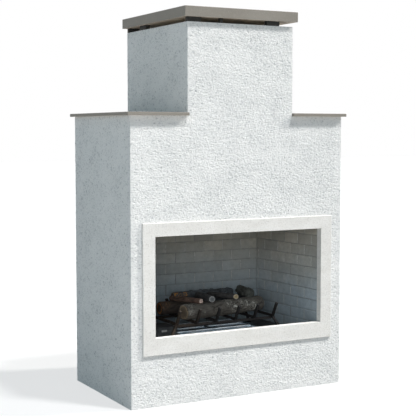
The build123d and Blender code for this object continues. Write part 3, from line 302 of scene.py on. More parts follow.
def make_piece(bm, name, made, body="fireplace"):
    """Turns a worked mesh into a piece that rides on a body."""
    mesh = bpy.data.meshes.new(name)
    bm.to_mesh(mesh)
    bm.free()
    piece = bpy.data.objects.new(name, mesh)
    bpy.context.scene.collection.objects.link(piece)
    mesh.materials.append(made)
    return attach(piece, body)


make_piece(skin, "stucco_texture", stucco)

# Ledge slabs and chimney cap: cast concrete, ground smooth and sealed, warm
# grey with faint cloudy patches and pinholes; faces turned downward are painted
# far paler and browner, a painted bounce light. The ledges lie on the shoulders
# in thin-set adhesive, the cap on its spacers.
def axis_of(made, where, axis):
    """One coordinate of a place or of a direction."""
    parts = made.node_tree.nodes.new("ShaderNodeSeparateXYZ")
    made.node_tree.links.new(where, parts.inputs["Vector"])
    return parts.outputs[axis]


concrete = surface("honed_concrete", (0.27, 0.25, 0.22), 0.62)
cloud = mottle(concrete, place(concrete), 5.0, 6.0, 0.55)
speck = mottle(concrete, place(concrete), 260.0, 2.0)
pinholes = cells(concrete, place(concrete), 85.0)
warm = ramp(
    concrete, cloud,
    (0.32, (0.205, 0.186, 0.160)), (0.55, (0.235, 0.214, 0.185)), (0.72, (0.265, 0.243, 0.212)),
)
flecked = mixed(concrete, span(concrete, speck, 0.0, 0.45, 0.55, 0.75), warm, (0.38, 0.36, 0.33))
holes = span(concrete, pinholes, 0.75, 0.0, 0.06, 0.12)
pitted = mixed(concrete, holes, flecked, (0.16, 0.15, 0.13))
# Painted bounce light: faces turned downward take a much paler brown, as if lit from below.
facing = concrete.node_tree.nodes.new("ShaderNodeNewGeometry")
facing_up = axis_of(concrete, facing.outputs["Normal"], "Z")
painted_bounce_share = span(concrete, facing_up, 1.0, 0.0, -0.9, -0.6)
painted_bounce_colour = ramp(concrete, cloud, (0.32, (0.52, 0.43, 0.34)), (0.7, (0.72, 0.62, 0.50)))
wire(concrete, mixed(concrete, painted_bounce_share, pitted, painted_bounce_colour))
wire(concrete, span(concrete, cloud, 0.52, 0.74, 0.3, 0.7), "Roughness")
ground = relief(concrete, pinholes, 0.0004, 0.5)
relief(concrete, speck, 0.00025, 0.6, ground)
dress(concrete, "left_ledge", "right_ledge", "chimney_cap")

# Spacer bars: black rubber blocks glued between the chimney and its cap, which
# leave the gap for the smoke. Matt, with a little dust on their tops.
rubber = surface("spacer_rubber", (0.010, 0.010, 0.009), 0.82)
dust = mottle(rubber, place(rubber), 90.0, 5.0)
paint(rubber, dust, (0.4, (0.008, 0.008, 0.007)), (0.78, (0.030, 0.028, 0.025)))
relief(rubber, mottle(rubber, place(rubber), 500.0), 0.0004)
dress(rubber, "cap_spacers")

# Surround: a flat render band round the fire opening and a return that lines
# its edge, trowelled smooth and finished with fine sand, a shade warmer.
sanded = surface("sanded_band", (0.83, 0.815, 0.79), 0.92)
grains = mottle(sanded, place(sanded, (0.6, 0.6, 1.0)), 230.0, 3.0, 0.65)
sweep = mottle(sanded, place(sanded, (1.0, 1.0, 2.0)), 12.0, 5.0)
blush = ramp(sanded, sweep, (0.35, (0.77, 0.750, 0.718)), (0.65, (0.82, 0.803, 0.775)))
blots = mottle(sanded, place(sanded), 105.0, 4.0, 0.7)
pocks = both(sanded, span(sanded, grains, 0.30, 0.0, 0.30, 0.46), span(sanded, blots, 0.42, 0.0, 0.32, 0.48))
wire(sanded, mixed(sanded, pocks, blush, (0.50, 0.47, 0.44)))
swept = relief(sanded, sweep, 0.0012)
relief(sanded, grains, 0.0022, 0.9, swept)
dress(sanded, "surround_frame")

# Brick lining: cast refractory panels in running bond, grey-beige above,
# slate blue towards the hearth and darker along the top courses. The upright
# joints are pointed with pale mortar and the bed joints lie open.
BRICK_UP, BRICK_ALONG, BRICK_GAP = 0.059, 0.120, 0.0018
BRICK_RISE, BRICK_TUCK, BRICK_WARP = 0.0007, -0.0008, 0.0004
POINTING_RISE, POINTING_LAP, POINTED_SHARE = 0.0009, 0.0006, 0.88
COURSES, HEARTH_Z, SIDE_JOINT, BACK_JOINT, BACK_INSET = 11, 0.278, 0.108, 0.091, 0.0005
BRICK_RINGS_LONG = (0.0, 0.02, 0.08, 0.25, 0.42, 0.58, 0.75, 0.92, 0.98, 1.0)
BRICK_RINGS_HIGH = (0.0, 0.04, 0.16, 0.5, 0.84, 0.96, 1.0)
POINTING_RINGS_LONG = (0.0, 0.3, 0.7, 1.0)
POINTING_RINGS_HIGH = (0.0, 0.1, 0.5, 0.9, 1.0)

brick = surface("firebrick", (0.46, 0.45, 0.42), 0.86)
where = place(brick)
cast = mottle(brick, where, 40.0, 5.0, 0.6)
coarse_grit = mottle(brick, where, 260.0, 3.0, 0.6)
smudges = mottle(brick, where, 9.0, 5.0, 0.6)
tone = brick.node_tree.nodes.new("ShaderNodeAttribute")
tone.attribute_name = "tone"
above_ground = axis_of(brick, where, "Z")
# The colour turns slate blue below a ragged line near the hearth and darker along the top courses.
blue_edge_height = both(brick, above_ground, span(brick, smudges, -0.10, 0.10))
bisque = ramp(
    brick, cast,
    (0.3, (0.405, 0.380, 0.322)), (0.55, (0.485, 0.458, 0.392)), (0.78, (0.550, 0.522, 0.455)),
)
toned = mixed(brick, span(brick, tone.outputs["Fac"], 0.0, 0.5), bisque, (0.335, 0.322, 0.280))
bluish = ramp(
    brick, cast,
    (0.3, (0.330, 0.385, 0.425)), (0.55, (0.390, 0.450, 0.492)), (0.78, (0.445, 0.505, 0.545)),
)
bluer_below = mixed(brick, span(brick, blue_edge_height, 1.0, 0.0, 0.46, 0.76), toned, bluish)
darker_top = mixed(brick, span(brick, above_ground, 0.0, 0.45, 0.80, 0.93), bluer_below, (0.170, 0.156, 0.126))
pitted = mixed(brick, span(brick, coarse_grit, 0.35, 0.0, 0.30, 0.42), darker_top, (0.14, 0.14, 0.13))
shaded = mixed(brick, span(brick, tone.outputs["Fac"], 0.0, 0.30), pitted, (0.22, 0.22, 0.21))
wire(brick, shaded)
uneven = relief(brick, cast, 0.0010)
relief(brick, coarse_grit, 0.0006, 0.7, uneven)
mortar = surface("mortar", (0.20, 0.20, 0.19), 0.95)
crumbs = mottle(mortar, place(mortar), 120.0, 4.0)
paint(mortar, crumbs, (0.3, (0.200, 0.205, 0.205)), (0.7, (0.330, 0.335, 0.330)))
relief(mortar, crumbs, 0.001)
dress(mortar, "right_brick_panel", "left_brick_panel", "back_brick_panel")
pointing = surface("pale_pointing", (0.70, 0.70, 0.66), 0.95)
crumbs = mottle(pointing, place(pointing), 150.0, 4.0)
paint(pointing, crumbs, (0.35, (0.42, 0.42, 0.40)), (0.65, (0.80, 0.79, 0.75)))
relief(pointing, crumbs, 0.0008)


def lay_bricks(name, run, shift, corner, along, inward, seed):
    """Brick faces over one panel. corner is the low front corner of its face."""
    chance = random.Random(seed)
    bm = bmesh.new()
    layer = bm.verts.layers.float.new("tone")

    def lay_face(left, right, low, high, rings_long, rings_high, level, lean, wobble, shade):
        """A slightly crooked face whose rim is tucked into the joint."""
        grid = []
        for v in rings_high:
            line = []
            for u in rings_long:
                a = left + (right - left) * u + wobble[0] * v + wobble[1] * (1 - v)
                z = low + (high - low) * v + wobble[2] * u + wobble[3] * (1 - u)
                base = corner + along * a + Vector((0, 0, HEARTH_Z + z))
                rise = level + lean[0] * (u - 0.5) + lean[1] * (v - 0.5)
                rise += noise.fractal(base * 24.0, 0.9, 2.0, 3) * BRICK_WARP
                if u in (0.0, 1.0) or v in (0.0, 1.0):
                    rise = BRICK_TUCK
                point = bm.verts.new(base + inward * rise)
                point[layer] = shade
                line.append(point)
            grid.append(line)
        faces = []
        for j in range(len(rings_high) - 1):
            for i in range(len(rings_long) - 1):
                quad = (grid[j][i], grid[j][i + 1], grid[j + 1][i + 1], grid[j + 1][i])
                face = bm.faces.new(quad)
                face.smooth = True
                faces.append(face)
        return faces

    for course in range(COURSES):
        first = (shift if course % 2 == 0 else shift - BRICK_ALONG / 2) % BRICK_ALONG
        low = course * BRICK_UP + BRICK_GAP / 2
        high = low + BRICK_UP - BRICK_GAP
        for step in range(-1, int(run / BRICK_ALONG) + 2):
            middle = first + step * BRICK_ALONG
            left = max(0.0, middle - (BRICK_ALONG - BRICK_GAP) / 2)
            right = min(run, middle + (BRICK_ALONG - BRICK_GAP) / 2)
            if right - left < BRICK_ALONG / 8:
                continue
            shade = chance.random() ** 1.5
            lean = (chance.uniform(-1, 1) * 0.0006, chance.uniform(-1, 1) * 0.0005)
            wobble = [chance.uniform(-1, 1) * BRICK_WARP for _ in range(4)]
            lay_face(
                left, right, low, high, BRICK_RINGS_LONG, BRICK_RINGS_HIGH,
                BRICK_RISE, lean, wobble, shade,
            )
            if left > 0.0 and chance.random() < POINTED_SHARE:
                strip = lay_face(
                    left - BRICK_GAP - POINTING_LAP, left + POINTING_LAP, low, high,
                    POINTING_RINGS_LONG, POINTING_RINGS_HIGH,
                    POINTING_RISE, (0.0, 0.0005), (0.0, 0.0, 0.0, 0.0), 0.0,
                )
                for face in strip:
                    face.material_index = 1
    bmesh.ops.recalc_face_normals(bm, faces=bm.faces)
    bm.faces.ensure_lookup_table()
    if bm.faces[0].normal.dot(inward) < 0:
        bmesh.ops.reverse_faces(bm, faces=bm.faces)
    make_piece(bm, name, brick).data.materials.append(pointing)


wall_front_y, wall_back_y, wall_front_x, wall_back_x = -0.3327, 0.2113, 0.490, 0.440
side_length = math.hypot(wall_back_y - wall_front_y, wall_front_x - wall_back_x)
for side, name in ((1, "right_brick_faces"), (-1, "left_brick_faces")):
    front_corner = Vector((side * wall_front_x, wall_front_y, 0))
    back_corner = Vector((side * wall_back_x, wall_back_y, 0))
    wall_way = (back_corner - front_corner).normalized()
    wall_in = Vector((-wall_way.y * side, wall_way.x * side, 0))
    lay_bricks(name, side_length, SIDE_JOINT, front_corner, wall_way, wall_in, 4 + side)
back_corner = Vector((-wall_back_x + BACK_INSET, wall_back_y, 0))
lay_bricks(
    "back_brick_faces", 2 * wall_back_x - 2 * BACK_INSET, BACK_JOINT + wall_back_x,
    back_corner, Vector((1, 0, 0)), Vector((0, -1, 0)), 11,
)

# Hearth: a cast refractory slab laid in the firebox under the burner, painted
# with a black heat-proof coating that has greyed and gathered ash.
hearth = surface("hearth_coating", (0.030, 0.031, 0.033), 0.62)
ash = mottle(hearth, place(hearth), 16.0, 6.0, 0.6)
grit = mottle(hearth, place(hearth), 330.0, 3.0)
paint(
    hearth, ash,
    (0.35, (0.022, 0.023, 0.026)), (0.62, (0.040, 0.042, 0.046)), (0.8, (0.085, 0.086, 0.086)),
)
wire(hearth, span(hearth, ash, 0.42, 0.75, 0.3, 0.7), "Roughness")
relief(hearth, grit, 0.0008)
dress(hearth, "firebox_floor")

# Firebox shell, smoke hood, flue and chase cover: folded galvanised sheet,
# riveted and tucked out of sight, dulled by heat above the fire. The chase
# cover has a coat of pale primer against rain.
sheet = surface("sheet_zinc", (0.40, 0.40, 0.40), 0.48, 0.85)
flow = mottle(sheet, place(sheet, (1.0, 1.0, 0.35)), 9.0, 5.0)
scuffs = mottle(sheet, place(sheet, (6.0, 6.0, 1.0)), 90.0, 4.0)
paint(sheet, flow, (0.3, (0.27, 0.27, 0.27)), (0.7, (0.50, 0.50, 0.49)))
wire(sheet, span(sheet, scuffs, 0.36, 0.62), "Roughness")
relief(sheet, scuffs, 0.0003)
dress(sheet, "firebox_shell", "flue_pipe")
primer = surface("cover_primer", (0.66, 0.61, 0.53), 0.6)
film = mottle(primer, place(primer), 18.0, 5.0)
paint(primer, film, (0.3, (0.58, 0.53, 0.45)), (0.7, (0.76, 0.71, 0.62)))
relief(primer, mottle(primer, place(primer), 420.0, 3.0), 0.0002)
dress(primer, "chase_cover")
sooty = surface("sooted_sheet", (0.05, 0.048, 0.045), 0.8, 0.2)
soot = mottle(sooty, place(sooty), 12.0, 6.0)
paint(sooty, soot, (0.35, (0.030, 0.029, 0.028)), (0.7, (0.095, 0.088, 0.080)))
relief(sooty, mottle(sooty, place(sooty), 200.0, 4.0), 0.0006)
dress(sooty, "smoke_hood")

# Grate: bent and welded square bar, black and scaled by heat, with thicker
# brown-black scale in places, rustier towards the left.
scale_black = surface("grate_scale", (0.022, 0.020, 0.018), 0.72, 0.35)
scaling = mottle(scale_black, place(scale_black), 70.0, 6.0, 0.65)
flakes = cells(scale_black, place(scale_black), 260.0)
rusty = ramp(
    scale_black, scaling,
    (0.33, (0.014, 0.011, 0.009)), (0.55, (0.042, 0.030, 0.021)), (0.78, (0.100, 0.066, 0.040)),
)
burnt = ramp(
    scale_black, scaling,
    (0.33, (0.006, 0.006, 0.007)), (0.6, (0.012, 0.011, 0.011)), (0.82, (0.038, 0.029, 0.023)),
)
heat_side = span(scale_black, axis_of(scale_black, place(scale_black), "X"), 0.0, 1.0, -0.27, -0.08)
wire(scale_black, mixed(scale_black, heat_side, rusty, burnt))
wire(scale_black, span(scale_black, scaling, 0.55, 0.85, 0.3, 0.7), "Roughness")
scaled = relief(scale_black, scaling, 0.0010)
relief(scale_black, flakes, 0.0005, 0.7, scaled)
dress(scale_black, "grate")

# Burner tray, tubes and feed: thin stainless sheet and tube, still bright,
# with brushed lines along them and a straw and blue tint where they get hot.
stainless = surface("burner_stainless", (0.62, 0.64, 0.67), 0.24, 1.0)
brushing = mottle(stainless, place(stainless, (0.6, 40.0, 40.0)), 22.0, 3.0)
tint = mottle(stainless, place(stainless), 14.0, 4.0)
paint(
    stainless, tint, (0.32, (0.42, 0.52, 0.60)), (0.5, (0.56, 0.64, 0.70)), (0.75, (0.58, 0.60, 0.60))
)
wire(stainless, span(stainless, brushing, 0.16, 0.34, 0.25, 0.75), "Roughness")
relief(stainless, brushing, 0.00003, 0.5)
dress(stainless, "burner_tray", "burner_tubes", "burner_feed", "pilot_burner")

# Valve, stem and shut-off: turned and milled brass, dulled to brown in the
# corners, with fine tool marks.
brass = surface("machined_brass", (0.58, 0.43, 0.20), 0.36, 1.0)
tarnish = mottle(brass, place(brass), 60.0, 5.0)
tooling = mottle(brass, place(brass, (1.0, 12.0, 1.0)), 300.0, 2.0)
paint(brass, tarnish, (0.3, (0.36, 0.25, 0.11)), (0.65, (0.64, 0.48, 0.23)))
wire(brass, span(brass, tarnish, 0.5, 0.3, 0.3, 0.7), "Roughness")
relief(brass, tooling, 0.0001)
dress(brass, "gas_valve", "valve_stem", "shutoff_valve")

# Knob, igniter and button: moulded black plastic with a fine spark texture,
# and a dull red push button.
SPARK_GRAIN, SPARK_DEPTH = 1500.0, 0.0002
moulded = surface("moulded_black", (0.018, 0.018, 0.019), 0.45)
handling = mottle(moulded, place(moulded), 80.0)
paint(moulded, handling, (0.3, (0.014, 0.014, 0.015)), (0.7, (0.030, 0.030, 0.031)))
relief(moulded, mottle(moulded, place(moulded), SPARK_GRAIN, 2.0), SPARK_DEPTH)
dress(moulded, "control_knob", "igniter_body")
button_red = surface("button_red", (0.32, 0.022, 0.016), 0.42)
handling = mottle(button_red, place(button_red), 120.0)
paint(button_red, handling, (0.3, (0.24, 0.016, 0.012)), (0.7, (0.38, 0.032, 0.022)))
relief(button_red, mottle(button_red, place(button_red), SPARK_GRAIN, 2.0), SPARK_DEPTH)
dress(button_red, "igniter_button")

# Valve cover: folded black sheet over the controls, in heat-proof matt paint
# with a greyish bloom of dust. Two domed cross-head screws hold it, and a bare
# drawn-metal plate is stuck to its front.
cover_paint = surface("cover_paint", (0.045, 0.047, 0.050), 0.66)
bloom = mottle(cover_paint, place(cover_paint), 26.0, 5.0)
paint(cover_paint, bloom, (0.35, (0.030, 0.032, 0.035)), (0.7, (0.085, 0.088, 0.090)))
relief(cover_paint, mottle(cover_paint, place(cover_paint), 600.0, 3.0), 0.0003)
dress(cover_paint, "valve_cover")

SCREW_FACETS = 24
SCREW_PROFILE = ((1.0, -0.10), (1.0, 0.10), (0.93, 0.28), (0.78, 0.42), (0.55, 0.52), (0.30, 0.57))
CROSS_REACH, CROSS_WIDTH, CROSS_DEPTH, CROSS_FLOOR = 0.6, 0.45, 0.30, 0.22


def set_screws(name, places, outward, radius, made):
    """Domed screw heads with a cross recess, standing on a face.

    The profile and the cross are in shares of the head's radius.
    """
    bm = bmesh.new()
    turn_to = Vector((0, 0, 1)).rotation_difference(Vector(outward))
    for place_of in places:
        base = Vector(place_of)
        rings = []
        for out, up in SCREW_PROFILE:
            ring = []
            for f in range(SCREW_FACETS):
                turn = math.tau * f / SCREW_FACETS
                in_cross = abs(math.sin(2 * turn)) < CROSS_WIDTH and out < CROSS_REACH
                sunk = CROSS_DEPTH if in_cross else 0.0
                spot = Vector((math.cos(turn) * out, math.sin(turn) * out, up - sunk)) * radius
                spot.rotate(turn_to)
                ring.append(bm.verts.new(base + spot))
            rings.append(ring)
        for one, next_one in zip(rings, rings[1:]):
            for f in range(SCREW_FACETS):
                g = (f + 1) % SCREW_FACETS
                bm.faces.new((one[f], one[g], next_one[g], next_one[f])).smooth = True
        deep = Vector((0, 0, CROSS_FLOOR * radius))
        deep.rotate(turn_to)
        hub = bm.verts.new(base + deep)
        for f in range(SCREW_FACETS):
            bm.faces.new((rings[-1][f], rings[-1][(f + 1) % SCREW_FACETS], hub))
    bmesh.ops.recalc_face_normals(bm, faces=bm.faces)
    make_piece(bm, name, made)


LABEL_WIDE, LABEL_HIGH, LABEL_CORNER = 0.032, 0.010, 0.0018
LABEL_THICK, LABEL_BEVEL, LABEL_SUNK = 0.0008, 0.0004, 0.0001
LABEL_X, LABEL_Z = -0.336, 0.3335
CORNER_STEPS = 6
COVER_SCREW_IN, COVER_SCREW_Z, COVER_SCREW_RADIUS = 0.012, 0.290, 0.0035

cover_low, cover_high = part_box("valve_cover")
plate = surface("bare_plate", (0.62, 0.63, 0.63), 0.38, 0.9)
drawn = mottle(plate, place(plate, (1.0, 1.0, 40.0)), 60.0, 3.0)
paint(plate, drawn, (0.3, (0.52, 0.53, 0.53)), (0.7, (0.72, 0.73, 0.73)))
wire(plate, span(plate, drawn, 0.28, 0.48), "Roughness")
label = bmesh.new()
loops = []
for depth, shrink in ((LABEL_SUNK, 0.0), (-LABEL_THICK, 0.0), (-LABEL_THICK - LABEL_BEVEL / 2, LABEL_BEVEL)):
    loop = []
    for corner in range(4):
        for step in range(CORNER_STEPS):
            turn = math.radians(90 * (corner + step / (CORNER_STEPS - 1)))
            round_off = LABEL_CORNER - shrink
            middle_x = (LABEL_WIDE / 2 - LABEL_CORNER) * (1 if corner in (0, 3) else -1)
            middle_z = (LABEL_HIGH / 2 - LABEL_CORNER) * (1 if corner in (0, 1) else -1)
            loop.append(label.verts.new((
                LABEL_X + middle_x + math.cos(turn) * round_off,
                cover_low.y + depth,
                LABEL_Z + middle_z + math.sin(turn) * round_off,
            )))
    loops.append(loop)
for one, next_one in zip(loops, loops[1:]):
    for f in range(4 * CORNER_STEPS):
        g = (f + 1) % (4 * CORNER_STEPS)
        label.faces.new((one[f], one[g], next_one[g], next_one[f])).smooth = True
label.faces.new(loops[-1])
bmesh.ops.recalc_face_normals(label, faces=label.faces)
make_piece(label, "bare_label_plate", plate)
screw_across = (cover_low.x + COVER_SCREW_IN, cover_high.x - COVER_SCREW_IN)
set_screws(
    "cover_screws", [(x, cover_low.y, COVER_SCREW_Z) for x in screw_across],
    (0, -1, 0), COVER_SCREW_RADIUS, cover_paint,
)

# Gas line: black iron pipe, a nipple whose free end is threaded outside the
# back wall, and a ball valve whose steel lever has a yellow vinyl grip. The
# thread is cut as one fine helix.
iron = surface("black_iron", (0.035, 0.034, 0.033), 0.5, 0.4)
mill = mottle(iron, place(iron), 40.0, 6.0)
paint(iron, mill, (0.35, (0.022, 0.022, 0.022)), (0.7, (0.070, 0.062, 0.055)))
relief(iron, mill, 0.0004)
dress(iron, "supply_pipe", "inlet_nipple")

THREAD_START, THREAD_END, THREAD_PITCH = 0.3625, 0.3755, 0.0018
THREAD_ROOT, THREAD_RISE, THREAD_FACETS, THREAD_STEPS = 0.01066, 0.0004, 60, 52
nipple_low, nipple_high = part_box("inlet_nipple")
nipple_middle = (nipple_low + nipple_high) / 2
thread = bmesh.new()
rings = []
for s in range(THREAD_STEPS + 1):
    at = THREAD_START + (THREAD_END - THREAD_START) * s / THREAD_STEPS
    ring = []
    for f in range(THREAD_FACETS):
        turn = math.tau * f / THREAD_FACETS
        phase = ((at - THREAD_START) / THREAD_PITCH - f / THREAD_FACETS) % 1.0
        crest = 1.0 - abs(2.0 * phase - 1.0)
        reach = THREAD_ROOT + crest * THREAD_RISE
        if s in (0, THREAD_STEPS):
            reach = THREAD_ROOT - THREAD_RISE / 2
        across = nipple_middle.x + math.cos(turn) * reach
        ring.append(thread.verts.new((across, at, nipple_middle.z + math.sin(turn) * reach)))
    rings.append(ring)
for one, next_one in zip(rings, rings[1:]):
    for f in range(THREAD_FACETS):
        g = (f + 1) % THREAD_FACETS
        thread.faces.new((one[f], one[g], next_one[g], next_one[f])).smooth = True
bmesh.ops.recalc_face_normals(thread, faces=thread.faces)
make_piece(thread, "nipple_thread", iron)
grip = surface("lever_vinyl", (0.62, 0.40, 0.03), 0.4)
soiling = mottle(grip, place(grip), 90.0, 5.0)
paint(grip, soiling, (0.3, (0.52, 0.33, 0.025)), (0.7, (0.70, 0.47, 0.05)))
relief(grip, mottle(grip, place(grip), 700.0), 0.0002)
dress(grip, "shutoff_lever")

# Access door at the back: brushed steel frame, louvred door on two pinned
# hinges and a quarter-turn latch. Ten domed screws hold the frame's flange to
# the wall.
door_metal = surface("door_steel", (0.55, 0.56, 0.57), 0.34, 0.95)
lines = mottle(door_metal, place(door_metal, (2.0, 2.0, 90.0)), 14.0, 4.0)
prints = mottle(door_metal, place(door_metal), 11.0, 5.0)
handled = ramp(door_metal, prints, (0.3, (0.34, 0.35, 0.36)), (0.7, (0.48, 0.49, 0.50)))
brushed = mixed(door_metal, span(door_metal, lines, 0.0, 0.5, 0.40, 0.66), handled, (0.66, 0.67, 0.68))
wire(door_metal, brushed)
wire(door_metal, span(door_metal, lines, 0.26, 0.46, 0.25, 0.75), "Roughness")
relief(door_metal, lines, 0.0003, 0.6)
dress(door_metal, "door_frame", "access_door", "door_latch", "hinge_pins")
FLANGE_FACE_Y, FLANGE_MIDDLE = 0.3625, 0.012
FLANGE_SCREW_SHARES, FLANGE_SCREW_RADIUS = (0.04, 0.35, 0.65, 0.96), 0.0038
frame_low, frame_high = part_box("door_frame")
screw_places = []
for z in (frame_low.z + FLANGE_MIDDLE, frame_high.z - FLANGE_MIDDLE):
    for share in FLANGE_SCREW_SHARES:
        screw_places.append((frame_low.x + (frame_high.x - frame_low.x) * share, FLANGE_FACE_Y, z))
for x in (frame_low.x + FLANGE_MIDDLE, frame_high.x - FLANGE_MIDDLE):
    screw_places.append((x, FLANGE_FACE_Y, (frame_low.z + frame_high.z) / 2))
set_screws(
    "door_frame_screws", screw_places, (0, 1, 0), FLANGE_SCREW_RADIUS, door_metal
)

# Logs: cast ceramic, made in a mould from real wood and coloured by hand,
# with bark plates, branch collars, pale veins and sawn ends that show their
# rings. They lie loose on the grate and on each other.
RING_STEP, FACET_STEP = 0.0035, 0.0028
STUB_SHARE, COLLAR_REACH, COLLAR_WIDTH, CORE_EDGE, CORE_FADE = 0.4, 2.6, 0.45, 0.8, 0.35
RING_AT, RING_WIDTH, SAW_REACH = 1.35, 0.24, 3.0
PLATE_ROUND, PLATE_LONG, FINE_ROUND, FINE_LONG = 95.0, 20.0, 240.0, 70.0
STATIONS = (0.0, 0.03, 0.22, 0.42, 0.6, 0.8, 0.97, 1.0)
WIDE_SHARES = (0.92, 0.97, 1.0, 0.96, 0.98, 0.95, 0.97, 0.9)
HIGH_SHARES = (0.92, 0.97, 0.98, 1.0, 0.96, 0.97, 0.95, 0.9)
SPECK_GRAIN, GROWTH_RINGS = 150.0, 36.0
RIM_TUCK, FACE_RINGS, FACE_PROUD, HUB_PROUD = 0.0014, 7, 0.0009, 0.0006


def log_finish(name, lie, bark, sawn, pale, specks):
    """Bark from deep to light, a sawn face from heart to rim, pale veins and specks."""
    made = surface(name, bark[1], 0.86)
    nodes, links = made.node_tree.nodes, made.node_tree.links
    marks = {}
    for mark in ("ridge", "cut", "growth", "scar"):
        read = nodes.new("ShaderNodeAttribute")
        read.attribute_name = mark
        marks[mark] = read.outputs["Fac"]
    where = place(made)
    grain = place(made, lie)
    stain = mottle(made, where, 24.0, 5.0, 0.6)
    streaks = mottle(made, grain, 150.0, 4.0, 0.6)
    grit = mottle(made, where, 260.0, 3.0, 0.6)
    depth = both(made, marks["ridge"], span(made, streaks, -0.35, 0.35, 0.3, 0.7))
    middle = tuple((d + b) / 2 for d, b in zip(bark[0], bark[1]))
    worked = ramp(made, depth, (0.12, bark[0]), (0.5, middle), (0.9, bark[1]))
    aged = mixed(made, span(made, stain, 0.0, 0.55, 0.42, 0.66), worked, tuple(c * 1.5 for c in bark[1]))
    veins = both(made, mottle(made, where, 58.0, 3.0, 0.55, 1.4), 0.5, "SUBTRACT")
    from_vein = both(made, veins, 0.0, "ABSOLUTE")
    hairs = both(made, span(made, from_vein, 1.0, 0.0, 0.010, 0.040), marks["scar"], "MULTIPLY")
    patched = both(made, span(made, both(made, marks["scar"], grit), 0.0, 1.0, 1.15, 1.35), hairs, "MAXIMUM")
    veined = mixed(made, span(made, patched, 0.0, 0.85), aged, pale)
    picked = nodes.new("ShaderNodeSeparateColor")
    links.new(cells(made, where, SPECK_GRAIN, output="Color"), picked.inputs["Color"])
    ash = both(
        made,
        span(made, cells(made, where, SPECK_GRAIN), 1.0, 0.0, 0.20, 0.34),
        span(made, picked.outputs["Red"], 0.0, 1.0, 1.0 - specks, 1.02 - specks),
        "MULTIPLY",
    )
    dusted = mixed(made, span(made, ash, 0.0, 0.7), veined, tuple(min(1.0, c * 4.0) for c in bark[1]))
    wavy = both(made, marks["growth"], span(made, stain, -0.20, 0.20, 0.3, 0.7))
    rings = both(made, both(made, wavy, GROWTH_RINGS, "MULTIPLY"), 0.0, "SINE")
    face = ramp(made, wavy, (0.10, sawn[0]), (0.62, sawn[1]), (0.86, sawn[2]), (0.99, bark[0]))
    latewood = tuple(c * 0.4 for c in sawn[1])
    ringed = mixed(made, span(made, rings, 0.0, 0.45, -0.1, 1.0), face, latewood)
    chipped = mixed(made, span(made, grit, 0.6, 0.0, 0.36, 0.46), ringed, bark[0])
    wire(made, mixed(made, marks["cut"], dusted, chipped))
    under = relief(made, streaks, 0.0012)
    relief(made, grit, 0.0010, 0.8, under)
    return made


def share_of(table, share):
    """The table's value at a share of the log's length."""
    for k in range(len(STATIONS) - 1):
        low, high = STATIONS[k], STATIONS[k + 1]
        if share <= high:
            t = (share - low) / (high - low)
            return table[k] + (table[k + 1] - table[k]) * t
    return table[-1]


